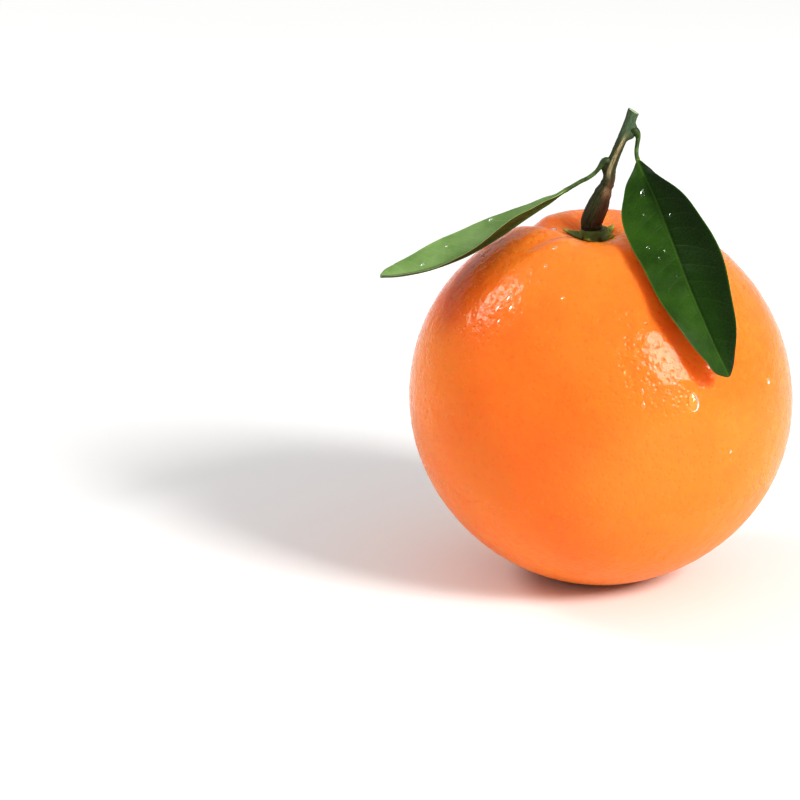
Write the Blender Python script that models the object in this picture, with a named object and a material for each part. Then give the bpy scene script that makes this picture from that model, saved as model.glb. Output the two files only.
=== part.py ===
"""An orange picked with its twig and two leaves, resting on the flat spot of its peel.

Metres, +Z up. The middle of the resting spot is at the origin, and the front is towards -Y.
"""
import math

import bpy
import numpy as np

# Fruit: a round form, a hollow with furrows at the stem, and a flat resting spot below.
FRUIT_DIAMETER = 0.0820
FRUIT_UPPER_HEIGHT = 0.0410     # from the widest level up to the top of the round form
FRUIT_LOWER_HEIGHT = 0.0405     # from the widest level down to the bottom of the round form
FRUIT_UNEVENNESS = 0.00035      # how far the flanks swell and sink
SEAT_DIAMETER = 0.0156
AXIS_LEAN = math.radians(-2.6)  # of the stem end, towards -X
HOLLOW_DEPTH = 0.0056
HOLLOW_WIDTH = 0.0076           # from the axis to where a third of the depth is left
FURROW_WIDTH = 0.0029
# each furrow: bearing at the axis in degrees, degrees that it turns in each millimetre outwards,
# depth, distance from the axis where it is deepest, and its spread along its length
FURROWS = (
    (186.0, -2.6, 0.0021, 0.0140, 0.0085),
    (213.0, 0.0, 0.0010, 0.0125, 0.0065),
    (250.0, 0.0, 0.0009, 0.0095, 0.0070),
    (273.0, 0.0, 0.0010, 0.0095, 0.0070),
    (296.0, 0.0, 0.0008, 0.0095, 0.0065),
    (344.0, 0.5, 0.0012, 0.0090, 0.0060),
    (64.0, 0.0, 0.0007, 0.0090, 0.0060),
)
FRUIT_COLUMNS = 84

# Calyx: a thin green star that lines the hollow under the stem.
CALYX_DIAMETER = 0.0094
CALYX_LOBES = 5
CALYX_LOBE_LENGTH = 0.0012
CALYX_FIRST_LOBE = math.radians(180.0)
CALYX_THICKNESS = 0.0022        # of the raised collar in the middle
COLLAR_RADIUS = 0.0029
COLLAR_SLOPE = 0.0013           # distance over which the collar falls away
CALYX_EDGE_THICKNESS = 0.0005
CALYX_SHARES = (0.35, 0.52, 0.66, 0.82, 1.0)      # of the way out, where its faces bend
CALYX_COLUMNS = 40

# Stem: a twig with one swollen node, bent towards +X.
STEM_LENGTH = 0.0270            # in a straight line from the calyx to the cut end
STEM_FOOT_DIAMETER = 0.0044
STEM_LOWER_DIAMETER = 0.0046
STEM_UPPER_DIAMETER = 0.0025
STEM_COLUMNS = 16

# Leaves: each one is a stalk and a blade that is folded a little along its midrib.
BLADE_THICKNESS = 0.0005
MIDRIB_THICKNESS = 0.0011
STALK_FOOT_DIAMETER = 0.0018
STALK_DIAMETER = 0.0009
STALK_SWELLING = 0.0015         # length over which the stalk's swollen foot thins out
BLADE_OPENING = 0.10            # share of the blade over which the stalk flattens out
LEFT_BLADE_LENGTH = 0.0440
LEFT_BLADE_WIDTH = 0.0182
LEFT_STALK_LENGTH = 0.0118
RIGHT_BLADE_LENGTH = 0.0525
RIGHT_BLADE_WIDTH = 0.0190
RIGHT_STALK_LENGTH = 0.0070
LEAF_COLUMNS = 16
# shares of a blade's length at which its outline is stated, as shares of its widest
BLADE_SHARES = (0.0, 0.03, 0.08, 0.15, 0.27, 0.42, 0.56, 0.70, 0.83, 0.92, 0.98, 1.0)

GAP = 0.0003                    # between pieces that touch
LEAF_CLEARANCE = 0.0013         # from the middle of a leaf's thickness to the peel

FRUIT_RADIUS = FRUIT_DIAMETER / 2
FRUIT_MIDDLE_HEIGHT = FRUIT_LOWER_HEIGHT * math.sqrt(1.0 - (SEAT_DIAMETER / FRUIT_DIAMETER) ** 2)
SEAT_ANGLE = math.pi - math.atan2(SEAT_DIAMETER / 2, FRUIT_MIDDLE_HEIGHT)
HOLLOW_FLOOR = FRUIT_UPPER_HEIGHT - HOLLOW_DEPTH
CALYX_FLOOR = HOLLOW_FLOOR + GAP
CALYX_TOP = CALYX_FLOOR + CALYX_THICKNESS


def clear_scene():
    for item in list(bpy.data.objects):
        bpy.data.objects.remove(item, do_unlink=True)


def smooth_step(value):
    value = np.clip(value, 0.0, 1.0)
    return value * value * (3.0 - 2.0 * value)


def lean(points, amount=1.0):
    """Points turned about Y by the lean of the fruit's axis, or by a part of it."""
    angle = AXIS_LEAN * amount
    x, y, z = points[..., 0], points[..., 1], points[..., 2]
    return np.stack((x * np.cos(angle) + z * np.sin(angle), y,
                     z * np.cos(angle) - x * np.sin(angle)), axis=-1)


def curve_through(knots, values, at):
    """A smooth curve through the values at the knots, one column for each coordinate."""
    knots = np.asarray(knots, float)
    values = np.asarray(values, float)
    if values.ndim == 1:
        return curve_through(knots, values[:, None], at)[:, 0]
    slopes = np.gradient(values, knots, axis=0)
    cell = np.clip(np.searchsorted(knots, at, side="right") - 1, 0, len(knots) - 2)
    width = knots[cell + 1] - knots[cell]
    t = ((at - knots[cell]) / width)[:, None]
    width = width[:, None]
    return ((2 * t ** 3 - 3 * t ** 2 + 1) * values[cell]
            + (t ** 3 - 2 * t ** 2 + t) * width * slopes[cell]
            + (3 * t ** 2 - 2 * t ** 3) * values[cell + 1]
            + (t ** 3 - t ** 2) * width * slopes[cell + 1])


# ---- shapes ---------------------------------------------------------------------------------

def peel_radius(polar, bearing):
    """Distance of the peel from the fruit's middle: a round form less the hollow and furrows.

    The round form is an upper and a lower half ellipsoid, with slow waves on its flanks. The
    hollow is a bell curve of the distance from the axis. Each furrow is a bell curve across its
    bearing, times another one along its length.
    """
    height = np.where(polar < math.pi / 2, FRUIT_UPPER_HEIGHT, FRUIT_LOWER_HEIGHT)
    round_form = 1.0 / np.sqrt((np.sin(polar) / FRUIT_RADIUS) ** 2
                               + (np.cos(polar) / height) ** 2)
    flank = smooth_step((polar - 0.5) / 0.6) * smooth_step((SEAT_ANGLE - polar) / 0.9)
    waves = np.sin(2 * bearing + 0.7 + polar) + 0.6 * np.sin(3 * bearing - 2.1 * polar)
    away = FRUIT_RADIUS * np.sin(np.minimum(polar, math.pi / 2))
    hollow = HOLLOW_DEPTH * np.exp(-(away / HOLLOW_WIDTH) ** 2)
    furrows = 0.0
    for start, turning, depth, reach, spread in FURROWS:
        turn = bearing - np.radians(start + turning * away * 1000.0)
        aside = np.where(np.cos(turn) > 0.0, away * np.sin(turn) / FURROW_WIDTH, 9.0)
        along = np.exp(-((away - reach) / spread) ** 2)
        opening = smooth_step(away / (reach * 0.5))
        furrows = furrows + depth * np.exp(-aside ** 2) * along * opening
    upper = smooth_step((math.pi / 2 - polar) / 0.8)
    return round_form + FRUIT_UNEVENNESS * flank * waves - (hollow + furrows) * upper


def polar_points(polar, bearing, radius):
    """Points around the fruit's middle: polar is the angle from straight up."""
    return np.stack((radius * np.sin(polar) * np.cos(bearing),
                     radius * np.sin(polar) * np.sin(bearing),
                     radius * np.cos(polar)), axis=-1)


def fruit_mesh():
    """Rings from the floor of the hollow down to the edge of the flat seat, then the seat."""
    polar = np.concatenate((np.radians(np.linspace(0.0, 34.0, 17)[1:]),
                            np.linspace(math.radians(38.0), SEAT_ANGLE, 28)))
    bearing = np.arange(FRUIT_COLUMNS) * (2 * math.pi / FRUIT_COLUMNS)
    polar, bearing = np.meshgrid(polar, bearing, indexing="ij")
    rings = polar_points(polar, bearing, peel_radius(polar, bearing))
    share = (np.cos(polar) - math.cos(SEAT_ANGLE)) / (1.0 - math.cos(SEAT_ANGLE))
    rings = lean(rings, share)
    top = lean(np.array((0.0, 0.0, HOLLOW_FLOOR)))
    seat = np.array((0.0, 0.0, -FRUIT_MIDDLE_HEIGHT))
    return closed_rings(rings, top, seat)


def calyx_mesh():
    """A star between two faces: the lower one lies a gap above the peel, the upper is a dish.

    The outline is a circle plus lobes, each one the square of a cosine of the bearing. A round
    collar stands up in the middle of the dish.
    """
    bearing = np.arange(CALYX_COLUMNS) * (2 * math.pi / CALYX_COLUMNS)
    lobe = np.cos(CALYX_LOBES * (bearing - CALYX_FIRST_LOBE) / 2) ** 2
    outline = CALYX_DIAMETER / 2 + CALYX_LOBE_LENGTH * (2 * lobe - 1)
    share = np.array(CALYX_SHARES)[:, None]
    polar = np.arcsin(share * outline[None, :] / FRUIT_RADIUS)
    bearing = np.broadcast_to(bearing, polar.shape)
    peel = peel_radius(polar, bearing)
    lower = polar_points(polar, bearing, peel + GAP)
    upper = polar_points(polar, bearing, peel + GAP + CALYX_EDGE_THICKNESS)
    raised = 1.0 - smooth_step((share * outline[None, :] - COLLAR_RADIUS) / COLLAR_SLOPE)
    upper[..., 2] = np.maximum(upper[..., 2], CALYX_FLOOR + CALYX_THICKNESS * raised)
    rings = np.concatenate((upper, lower[::-1])) - np.array((0.0, 0.0, CALYX_FLOOR))
    return closed_rings(rings, np.array((0.0, 0.0, CALYX_THICKNESS)), np.zeros(3))


def stem_line(share):
    """The stem's middle line from its foot, at shares of its length from 0 to 1."""
    knots = (0.0, 0.08, 0.20, 0.33, 0.41, 0.52, 0.63, 0.75, 0.85, 1.0)
    bends = ((-0.027, 0.0, 0.0), (-0.019, 0.0, 0.050), (0.030, 0.0, 0.167), (0.085, 0.003, 0.292),
             (0.122, 0.010, 0.365), (0.149, 0.019, 0.480), (0.191, 0.029, 0.584),
             (0.239, 0.037, 0.688), (0.285, 0.045, 0.781), (0.343, 0.052, 0.923))
    shape = curve_through(knots, bends, np.atleast_1d(np.asarray(share, float)))
    return shape * STEM_LENGTH


def stem_radius(share):
    """The stem's radius at shares of its length: a thick lower part, a node, a thin upper part."""
    lower = STEM_LOWER_DIAMETER / 2
    upper = STEM_UPPER_DIAMETER / 2
    knots = (0.0, 0.05, 0.18, 0.25, 0.30, 0.35, 0.40, 0.465, 0.54, 0.63, 0.80, 1.0)
    radii = (STEM_FOOT_DIAMETER / 2, lower * 0.98, lower, lower * 0.90, lower * 0.78,
             lower * 0.68, upper * 1.12, upper * 1.02, upper * 0.93, upper * 0.86,
             upper * 0.86, upper)
    return curve_through(knots, radii, np.atleast_1d(np.asarray(share, float)))


def stem_mesh():
    """A round profile carried along the bent line, with a flat foot and a flat cut end."""
    share = np.concatenate((np.linspace(0.0, 0.44, 13), np.linspace(0.49, 1.0, 11)))
    line = stem_line(share)
    radius = stem_radius(share)
    side = np.tile(np.array((1.0, 0.0, 0.0)), (len(share), 1))
    along = np.gradient(line, axis=0)
    along[0] = (0.0, 0.0, 1.0)
    return carried_oval(line, along, side, (radius, radius), radius, 0.0, STEM_COLUMNS)


def leaf_mesh(leaf):
    """A round stalk that opens into a thin blade, one closed body carried along one line."""
    stalk = np.linspace(0.0, 1.0, 11)
    blade = np.linspace(0.0, 1.0, 25)
    stalk_line = curve_through(leaf["stalk_knots"], leaf["stalk_line"], stalk)
    blade_line = curve_through(leaf["blade_knots"], leaf["blade_line"], blade)
    stalk_line = stalk_line * leaf["stalk_length"]
    blade_line = stalk_line[-1] + blade_line * leaf["blade_length"]
    line = clear_of_peel(np.concatenate((stalk_line, blade_line[1:])), leaf["foot"])
    across = curve_through(leaf["across_knots"], leaf["across"], blade)
    across = np.concatenate((np.tile(across[0], (len(stalk) - 1, 1)), across))
    thin = STALK_DIAMETER / 2
    from_foot = stalk * leaf["stalk_length"]
    swelling = np.exp(-(from_foot / STALK_SWELLING) ** 2)
    stalk_radius = thin + (STALK_FOOT_DIAMETER / 2 - thin) * swelling
    half_widths = []
    for side in ("outline", "far_outline"):
        half_blade = leaf["blade_width"] / 2 * curve_through(BLADE_SHARES, leaf[side], blade)
        half_widths.append(np.concatenate((stalk_radius[:-1],
                                           np.maximum(half_blade, thin * 0.6))))
    opening = smooth_step(blade / BLADE_OPENING)
    half_thickness = np.concatenate((stalk_radius[:-1],
                                     thin + (BLADE_THICKNESS / 2 - thin) * opening))
    rib = np.concatenate((np.zeros(len(stalk) - 1),
                          (MIDRIB_THICKNESS - BLADE_THICKNESS) * opening * (1.0 - 0.7 * blade)))
    rise = np.radians(curve_through((0.0, 0.5, 1.0), leaf["fold"], blade))
    fold = np.concatenate((np.zeros(len(stalk) - 1), rise * opening))
    along = np.gradient(line, axis=0)
    along[0] = leaf["leaving"]
    return carried_oval(line, along, across, half_widths, half_thickness, fold, LEAF_COLUMNS,
                        rib, leaf["foot"])


def clear_of_peel(points, foot):
    """Points moved out from the fruit's middle until they are clear of the peel."""
    out = points + foot - np.array((0.0, 0.0, FRUIT_MIDDLE_HEIGHT))
    distance = np.linalg.norm(out, axis=-1, keepdims=True)
    height = np.where(out[..., 2:] > 0.0, FRUIT_UPPER_HEIGHT, FRUIT_LOWER_HEIGHT)
    level = np.linalg.norm(out[..., :2], axis=-1, keepdims=True) / FRUIT_RADIUS
    clear = distance / np.sqrt(level ** 2 + (out[..., 2:] / height) ** 2)
    clear = clear + LEAF_CLEARANCE + FRUIT_UNEVENNESS
    return points + out / distance * np.maximum(clear - distance, 0.0)


def carried_oval(line, along, side, half_widths, half_thickness, fold, columns, rib=0.0,
                 foot=None):
    """Oval sections, folded up along their middle, carried along a line and closed at the ends.

    A point of a section is the line's point, plus the half width times the cosine along the side
    direction turned up by the fold, plus the half thickness times the sine along the facing
    direction. The half width is one number towards the side direction and another one away from
    it. A rib is added under the middle of the section.
    """
    along = along / np.linalg.norm(along, axis=1, keepdims=True)
    side = side - along * np.sum(side * along, axis=1, keepdims=True)
    side = side / np.linalg.norm(side, axis=1, keepdims=True)
    facing = np.cross(side, along)
    turn = np.arange(columns) * (2 * math.pi / columns)
    turn = turn + 0.3 * np.sin(2 * turn)
    near, far = half_widths
    aside = np.where(np.cos(turn) > 0.0, near[:, None], far[:, None]) * np.cos(turn)
    fold = np.broadcast_to(fold, near.shape)[:, None]
    middle = line[:, None, :] + (aside * np.cos(fold))[..., None] * side[:, None, :]
    middle = middle + (np.abs(aside) * np.sin(fold))[..., None] * facing[:, None, :]
    if foot is not None:
        middle = clear_of_peel(middle, foot)
    body = half_thickness[:, None] * np.sin(turn)
    under = np.where(np.sin(turn) < -0.999, 1.0, 0.0)
    body = body - np.broadcast_to(rib, near.shape)[:, None] * under
    rings = middle + body[..., None] * facing[:, None, :]
    return closed_rings(rings, line[0], line[-1])


def closed_rings(rings, first, last):
    """Vertices and faces of a closed body: rings of points joined in order, and a fan at each end."""
    count, columns = rings.shape[:2]
    points = np.concatenate((rings.reshape(-1, 3), first[None, :], last[None, :]))
    row, column = np.meshgrid(np.arange(count - 1), np.arange(columns), indexing="ij")
    here = row * columns + column
    beside = row * columns + (column + 1) % columns
    quads = np.stack((here, here + columns, beside + columns, beside), axis=-1).reshape(-1, 4)
    edge = np.arange(columns)
    beyond = (edge + 1) % columns
    start = np.stack((np.full(columns, count * columns), edge, beyond), axis=-1)
    base = (count - 1) * columns
    end = np.stack((np.full(columns, count * columns + 1), base + beyond, base + edge), axis=-1)
    return points, quads.tolist() + start.tolist() + end.tolist()


# ---- objects --------------------------------------------------------------------------------

def material(name, colour, roughness, metallic=0.0):
    made = bpy.data.materials.new(name)
    made.use_nodes = True
    surface = made.node_tree.nodes["Principled BSDF"]
    surface.inputs["Base Color"].default_value = (*colour, 1.0)
    surface.inputs["Roughness"].default_value = roughness
    surface.inputs["Metallic"].default_value = metallic
    return made


def add_piece(name, shape, look, parent, location=(0.0, 0.0, 0.0), turn_y=0.0):
    points, faces = shape
    mesh = bpy.data.meshes.new(name)
    mesh.from_pydata([tuple(point) for point in points.tolist()], [], faces)
    mesh.validate()
    mesh.materials.append(look)
    piece = bpy.data.objects.new(name, mesh)
    bpy.context.collection.objects.link(piece)
    piece.location = location
    piece.rotation_euler = (0.0, turn_y, 0.0)
    piece.parent = parent
    return piece


def add_fruit(parent):
    look = material("peel", (0.90, 0.24, 0.012), 0.34)
    return add_piece("fruit", fruit_mesh(), look, parent, (0.0, 0.0, FRUIT_MIDDLE_HEIGHT))


def add_calyx(parent):
    look = material("calyx_green", (0.15, 0.20, 0.03), 0.55)
    place = lean(np.array((0.0, 0.0, CALYX_FLOOR))) + np.array((0.0, 0.0, FRUIT_MIDDLE_HEIGHT))
    return add_piece("calyx", calyx_mesh(), look, parent, place, AXIS_LEAN)


def stem_foot():
    """Where the stem's foot stands, a gap over the calyx."""
    foot = lean(np.array((0.0, 0.0, CALYX_TOP + GAP)))
    return foot + np.array((0.0, 0.0, FRUIT_MIDDLE_HEIGHT))


def add_stem(parent):
    look = material("bark", (0.10, 0.075, 0.03), 0.65)
    return add_piece("stem", stem_mesh(), look, parent, stem_foot(), AXIS_LEAN)


def leaf_foot(share, leaving):
    """Where a stalk leaves the stem: a gap off the bark, in the direction that it leaves by."""
    axis_point = lean(stem_line(share)[0]) + stem_foot()
    leaving = np.asarray(leaving, float)
    leaving = leaving / np.linalg.norm(leaving)
    return axis_point + leaving * (float(stem_radius(share)[0]) + GAP), leaving


def add_left_leaf(parent):
    foot, leaving = leaf_foot(0.555, (-0.95, -0.06, 0.30))
    leaf = {
        "foot": foot,
        "leaving": leaving,
        "stalk_length": LEFT_STALK_LENGTH,
        "stalk_knots": (0.0, 0.10, 0.17, 0.30, 0.45, 0.62, 0.79, 1.0),
        "stalk_line": ((0.0, 0.0, 0.0), (-0.07, -0.01, -0.055), (-0.12, -0.02, -0.125),
                       (-0.20, -0.03, -0.22), (-0.32, -0.04, -0.31), (-0.46, -0.05, -0.38),
                       (-0.60, -0.07, -0.46), (-0.78, -0.10, -0.56)),
        "blade_length": LEFT_BLADE_LENGTH,
        "blade_width": LEFT_BLADE_WIDTH,
        "blade_knots": (0.0, 0.12, 0.24, 0.34, 0.44, 0.55, 0.66, 0.76, 0.85, 0.93, 1.0),
        "blade_line": ((0.0, 0.0, 0.0), (-0.10, -0.01, -0.062), (-0.20, -0.02, -0.130),
                       (-0.285, -0.035, -0.188), (-0.37, -0.05, -0.242), (-0.46, -0.07, -0.290),
                       (-0.56, -0.093, -0.328), (-0.65, -0.113, -0.354), (-0.735, -0.13, -0.370),
                       (-0.81, -0.150, -0.376), (-0.88, -0.168, -0.374)),
        "across_knots": (0.0, 0.34, 0.5, 1.0),
        "across": ((0.0, 0.992, -0.127), (0.0, 0.998, -0.060), (0.0, 1.000, 0.026),
                   (0.0, 1.000, 0.010)),
        "outline": (0.06, 0.12, 0.22, 0.37, 0.72, 0.95, 1.0, 0.88, 0.68, 0.44, 0.20, 0.05),
        "far_outline": (0.06, 0.12, 0.22, 0.37, 0.72, 0.95, 1.0, 0.88, 0.68, 0.44, 0.20, 0.05),
        "fold": (19.0, 19.0, 16.5),
    }
    look = material("leaf_green_left", (0.09, 0.19, 0.045), 0.42)
    return add_piece("leaf_left", leaf_mesh(leaf), look, parent, foot)


def add_right_leaf(parent):
    foot, leaving = leaf_foot(0.85, (0.95, -0.15, -0.24))
    leaf = {
        "foot": foot,
        "leaving": leaving,
        "stalk_length": RIGHT_STALK_LENGTH,
        "stalk_knots": (0.0, 0.10, 0.26, 0.41, 0.63, 0.81, 1.0),
        "stalk_line": ((0.0, 0.0, 0.0), (0.085, -0.02, -0.07), (0.135, -0.07, -0.23),
                       (0.115, -0.13, -0.37), (0.085, -0.22, -0.57), (0.09, -0.30, -0.73),
                       (0.13, -0.42, -0.87)),
        "blade_length": RIGHT_BLADE_LENGTH,
        "blade_width": RIGHT_BLADE_WIDTH,
        "blade_knots": (0.0, 0.13, 0.28, 0.46, 0.58, 0.70, 0.84, 0.92, 1.0),
        "blade_line": ((0.0, 0.0, 0.0), (0.048, -0.088, -0.089), (0.093, -0.190, -0.181),
                       (0.146, -0.315, -0.301), (0.179, -0.405, -0.382), (0.220, -0.485, -0.469),
                       (0.271, -0.567, -0.575), (0.303, -0.602, -0.640), (0.338, -0.628, -0.712)),
        "across_knots": (0.0, 0.27, 0.5, 0.74, 1.0),
        "across": ((-0.817, 0.261, -0.514), (-0.870, 0.215, -0.445), (-0.939, -0.072, -0.334),
                   (-0.897, -0.319, -0.308), (-0.834, -0.480, -0.263)),
        "outline": (0.06, 0.24, 0.49, 0.72, 0.91, 0.955, 0.90, 0.85, 0.64, 0.46, 0.28, 0.07),
        "far_outline": (0.06, 0.13, 0.29, 0.51, 0.84, 0.96, 1.0, 0.83, 0.63, 0.38, 0.16, 0.05),
        "fold": (32.0, 27.0, 24.0),
    }
    look = material("leaf_green_right", (0.03, 0.095, 0.012), 0.30)
    return add_piece("leaf_right", leaf_mesh(leaf), look, parent, foot)


def build():
    clear_scene()
    rest = bpy.data.objects.new("orange", None)
    bpy.context.collection.objects.link(rest)
    add_fruit(rest)
    add_calyx(rest)
    add_stem(rest)
    add_left_leaf(rest)
    add_right_leaf(rest)


build()
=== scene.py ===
"""The looks of a ripe orange with its calyx, twig and two leaves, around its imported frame.

Metres, +Z up, with the front towards -Y. Every finished piece is a surface worked out with numpy.
"""
import math

import bpy
import numpy as np
from bpy.props import FloatProperty, FloatVectorProperty, IntProperty, PointerProperty
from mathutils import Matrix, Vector


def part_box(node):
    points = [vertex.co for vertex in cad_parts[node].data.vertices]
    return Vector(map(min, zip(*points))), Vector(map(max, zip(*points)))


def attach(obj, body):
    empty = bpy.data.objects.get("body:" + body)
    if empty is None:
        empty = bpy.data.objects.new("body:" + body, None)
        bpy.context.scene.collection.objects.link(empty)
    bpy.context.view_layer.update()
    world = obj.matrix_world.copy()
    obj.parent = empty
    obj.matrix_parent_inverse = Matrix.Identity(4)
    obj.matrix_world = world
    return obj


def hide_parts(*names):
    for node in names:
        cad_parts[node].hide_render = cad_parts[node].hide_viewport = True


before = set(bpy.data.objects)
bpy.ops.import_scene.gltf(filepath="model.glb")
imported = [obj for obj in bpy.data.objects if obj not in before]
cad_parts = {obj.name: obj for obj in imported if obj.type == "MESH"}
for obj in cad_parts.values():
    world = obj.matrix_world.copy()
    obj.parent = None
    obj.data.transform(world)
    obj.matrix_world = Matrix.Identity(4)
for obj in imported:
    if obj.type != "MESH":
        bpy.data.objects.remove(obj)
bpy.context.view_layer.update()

bl_info = {
    "name": "Orange with twig and leaves",
    "version": (1, 0, 0),
    "blender": (4, 5, 0),
    "location": "3D View > Sidebar > Orange",
    "description": "Builds a ripe orange with its calyx, twig, two leaves and water drops",
    "category": "Object",
}

BODY = "root"
MM = 0.001

# Each furrow: bearing at the axis in degrees, degrees that it turns in each millimetre outwards,
# depth, distance from the axis where it is deepest, and its spread along its length.
FURROWS = (
    (186.0, -2.6, 0.0021, 0.0140, 0.0085),
    (213.0, 0.0, 0.0010, 0.0125, 0.0065),
    (250.0, 0.0, 0.0009, 0.0095, 0.0070),
    (273.0, 0.0, 0.0010, 0.0095, 0.0070),
    (296.0, 0.0, 0.0008, 0.0095, 0.0065),
    (344.0, 0.5, 0.0012, 0.0090, 0.0060),
    (64.0, 0.0, 0.0007, 0.0090, 0.0060),
)
CALYX_LOBES = 5

# The stem's middle line at shares of its length, and its radius in shares of its two thicknesses.
STEM_KNOTS = (0.0, 0.08, 0.20, 0.33, 0.41, 0.52, 0.63, 0.75, 0.85, 1.0)
STEM_BENDS = ((-0.027, 0.0, 0.0), (-0.019, 0.0, 0.050), (0.030, 0.0, 0.167),
              (0.085, 0.003, 0.292), (0.122, 0.010, 0.365), (0.149, 0.019, 0.480),
              (0.191, 0.029, 0.584), (0.239, 0.037, 0.688), (0.285, 0.045, 0.781),
              (0.343, 0.052, 0.923))

# Shares of a blade's length at which its outline is stated, as shares of its widest. A leaf whose
# halves differ also has a far outline, for the half on the other side of the midrib.
BLADE_SHARES = (0.0, 0.03, 0.08, 0.15, 0.27, 0.42, 0.56, 0.70, 0.83, 0.92, 0.98, 1.0)
LEFT_LEAF = {
    "node": "leaf_left",
    "share": 0.555,
    "leaving": (-0.95, -0.06, 0.30),
    "stalk_knots": (0.0, 0.10, 0.17, 0.30, 0.45, 0.62, 0.79, 1.0),
    "stalk_line": ((0.0, 0.0, 0.0), (-0.07, -0.01, -0.055), (-0.12, -0.02, -0.125),
                   (-0.20, -0.03, -0.22), (-0.32, -0.04, -0.31), (-0.46, -0.05, -0.38),
                   (-0.60, -0.07, -0.46), (-0.78, -0.10, -0.56)),
    "blade_knots": (0.0, 0.12, 0.24, 0.34, 0.44, 0.55, 0.66, 0.76, 0.85, 0.93, 1.0),
    "blade_line": ((0.0, 0.0, 0.0), (-0.10, -0.01, -0.062), (-0.20, -0.02, -0.130),
                   (-0.285, -0.035, -0.188), (-0.37, -0.05, -0.242), (-0.46, -0.07, -0.290),
                   (-0.56, -0.093, -0.328), (-0.65, -0.113, -0.354), (-0.735, -0.13, -0.370),
                   (-0.81, -0.150, -0.376), (-0.88, -0.168, -0.374)),
    "across_knots": (0.0, 0.34, 0.5, 1.0),
    "across": ((0.0, 0.992, -0.127), (0.0, 0.998, -0.060), (0.0, 1.000, 0.026),
               (0.0, 1.000, 0.010)),
    "outline": (0.06, 0.12, 0.22, 0.37, 0.72, 0.95, 1.0, 0.88, 0.68, 0.44, 0.20, 0.05),
    "fold": (19.0, 19.0, 16.5),
    "waves": (0.12, 3.1, 0.4),
}
RIGHT_LEAF = {
    "node": "leaf_right",
    "share": 0.85,
    "leaving": (0.95, -0.15, -0.24),
    "stalk_knots": (0.0, 0.10, 0.26, 0.41, 0.63, 0.81, 1.0),
    "stalk_line": ((0.0, 0.0, 0.0), (0.085, -0.02, -0.07), (0.135, -0.07, -0.23),
                   (0.115, -0.13, -0.37), (0.085, -0.22, -0.57), (0.09, -0.30, -0.73),
                   (0.13, -0.42, -0.87)),
    "blade_knots": (0.0, 0.13, 0.28, 0.46, 0.58, 0.70, 0.84, 0.92, 1.0),
    "blade_line": ((0.0, 0.0, 0.0), (0.048, -0.088, -0.089), (0.093, -0.190, -0.181),
                   (0.146, -0.315, -0.301), (0.179, -0.405, -0.382), (0.220, -0.485, -0.469),
                   (0.271, -0.567, -0.575), (0.303, -0.602, -0.640), (0.338, -0.628, -0.712)),
    "across_knots": (0.0, 0.27, 0.5, 0.74, 1.0),
    "across": ((-0.817, 0.261, -0.514), (-0.870, 0.215, -0.445), (-0.939, -0.072, -0.334),
               (-0.897, -0.319, -0.308), (-0.834, -0.480, -0.263)),
    "outline": (0.06, 0.24, 0.49, 0.72, 0.91, 0.955, 0.90, 0.85, 0.64, 0.46, 0.28, 0.07),
    "far_outline": (0.06, 0.13, 0.29, 0.51, 0.84, 0.96, 1.0, 0.83, 0.63, 0.38, 0.16, 0.05),
    "fold": (32.0, 27.0, 24.0),
    "waves": (0.30, 4.3, 1.1),
}


# ---- settings -------------------------------------------------------------------------------

def length(name, description, default):
    return FloatProperty(name=name, description=description, default=default, min=0.0,
                         precision=5, subtype="DISTANCE", unit="LENGTH")


def share(name, description, default, highest=1.0):
    return FloatProperty(name=name, description=description, default=default, min=0.0,
                         max=highest, precision=3, subtype="FACTOR")


def colour(name, description, default):
    return FloatVectorProperty(name=name, description=description, default=default, size=3,
                               min=0.0, max=1.0, subtype="COLOR")


class FruitSettings(bpy.types.PropertyGroup):
    """Sizes and colours of the fruit."""

    diameter: length("Diameter", "Width of the round form", 0.0820)
    upper_height: length("Upper height", "From the widest level to the top of the form", 0.0410)
    lower_height: length("Lower height", "From the widest level to the bottom", 0.0405)
    unevenness: length("Unevenness", "How far the flanks swell and sink", 0.00035)
    seat: length("Resting spot", "Diameter of the flat spot below", 0.0156)
    lean: FloatProperty(name="Lean", description="How far the stem end leans towards -X",
                        default=math.radians(2.6), subtype="ANGLE", unit="ROTATION")
    hollow_depth: length("Hollow depth", "Depth of the hollow at the stem", 0.0056)
    hollow_width: length("Hollow width", "From the axis to a third of the depth", 0.0076)
    furrow_width: length("Furrow width", "Half width of a furrow in the shoulder", 0.0029)
    dimple_size: length("Dimple spacing", "Distance between the dimples of the peel", 0.0021)
    dimple_depth: length("Dimple depth", "Depth of the dimples of the peel", 0.00009)
    rumple: length("Rumples", "Height of the low swellings of the shoulder", 0.00013)
    ripe: colour("Ripe colour", "Colour of most of the peel", (0.90, 0.234, 0.033))
    deep: colour("Deep colour", "Redder colour of its shaded drifts", (0.88, 0.180, 0.022))
    bright: colour("Bright colour", "Yellower colour of its lighter drifts", (0.91, 0.252, 0.030))
    # painted shade: a redder colour where the left leaf shades the shoulder
    flush: colour("Shoulder shade", "Redder colour high on the left shoulder", (0.86, 0.092, 0.009))
    hollow: colour("Hollow", "Paler colour in the hollow", (0.93, 0.30, 0.09))
    scar: colour("Scar", "Colour of the scar in the resting spot", (0.16, 0.07, 0.025))
    columns: IntProperty(name="Columns", description="Faces around the fruit", default=400)


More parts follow.
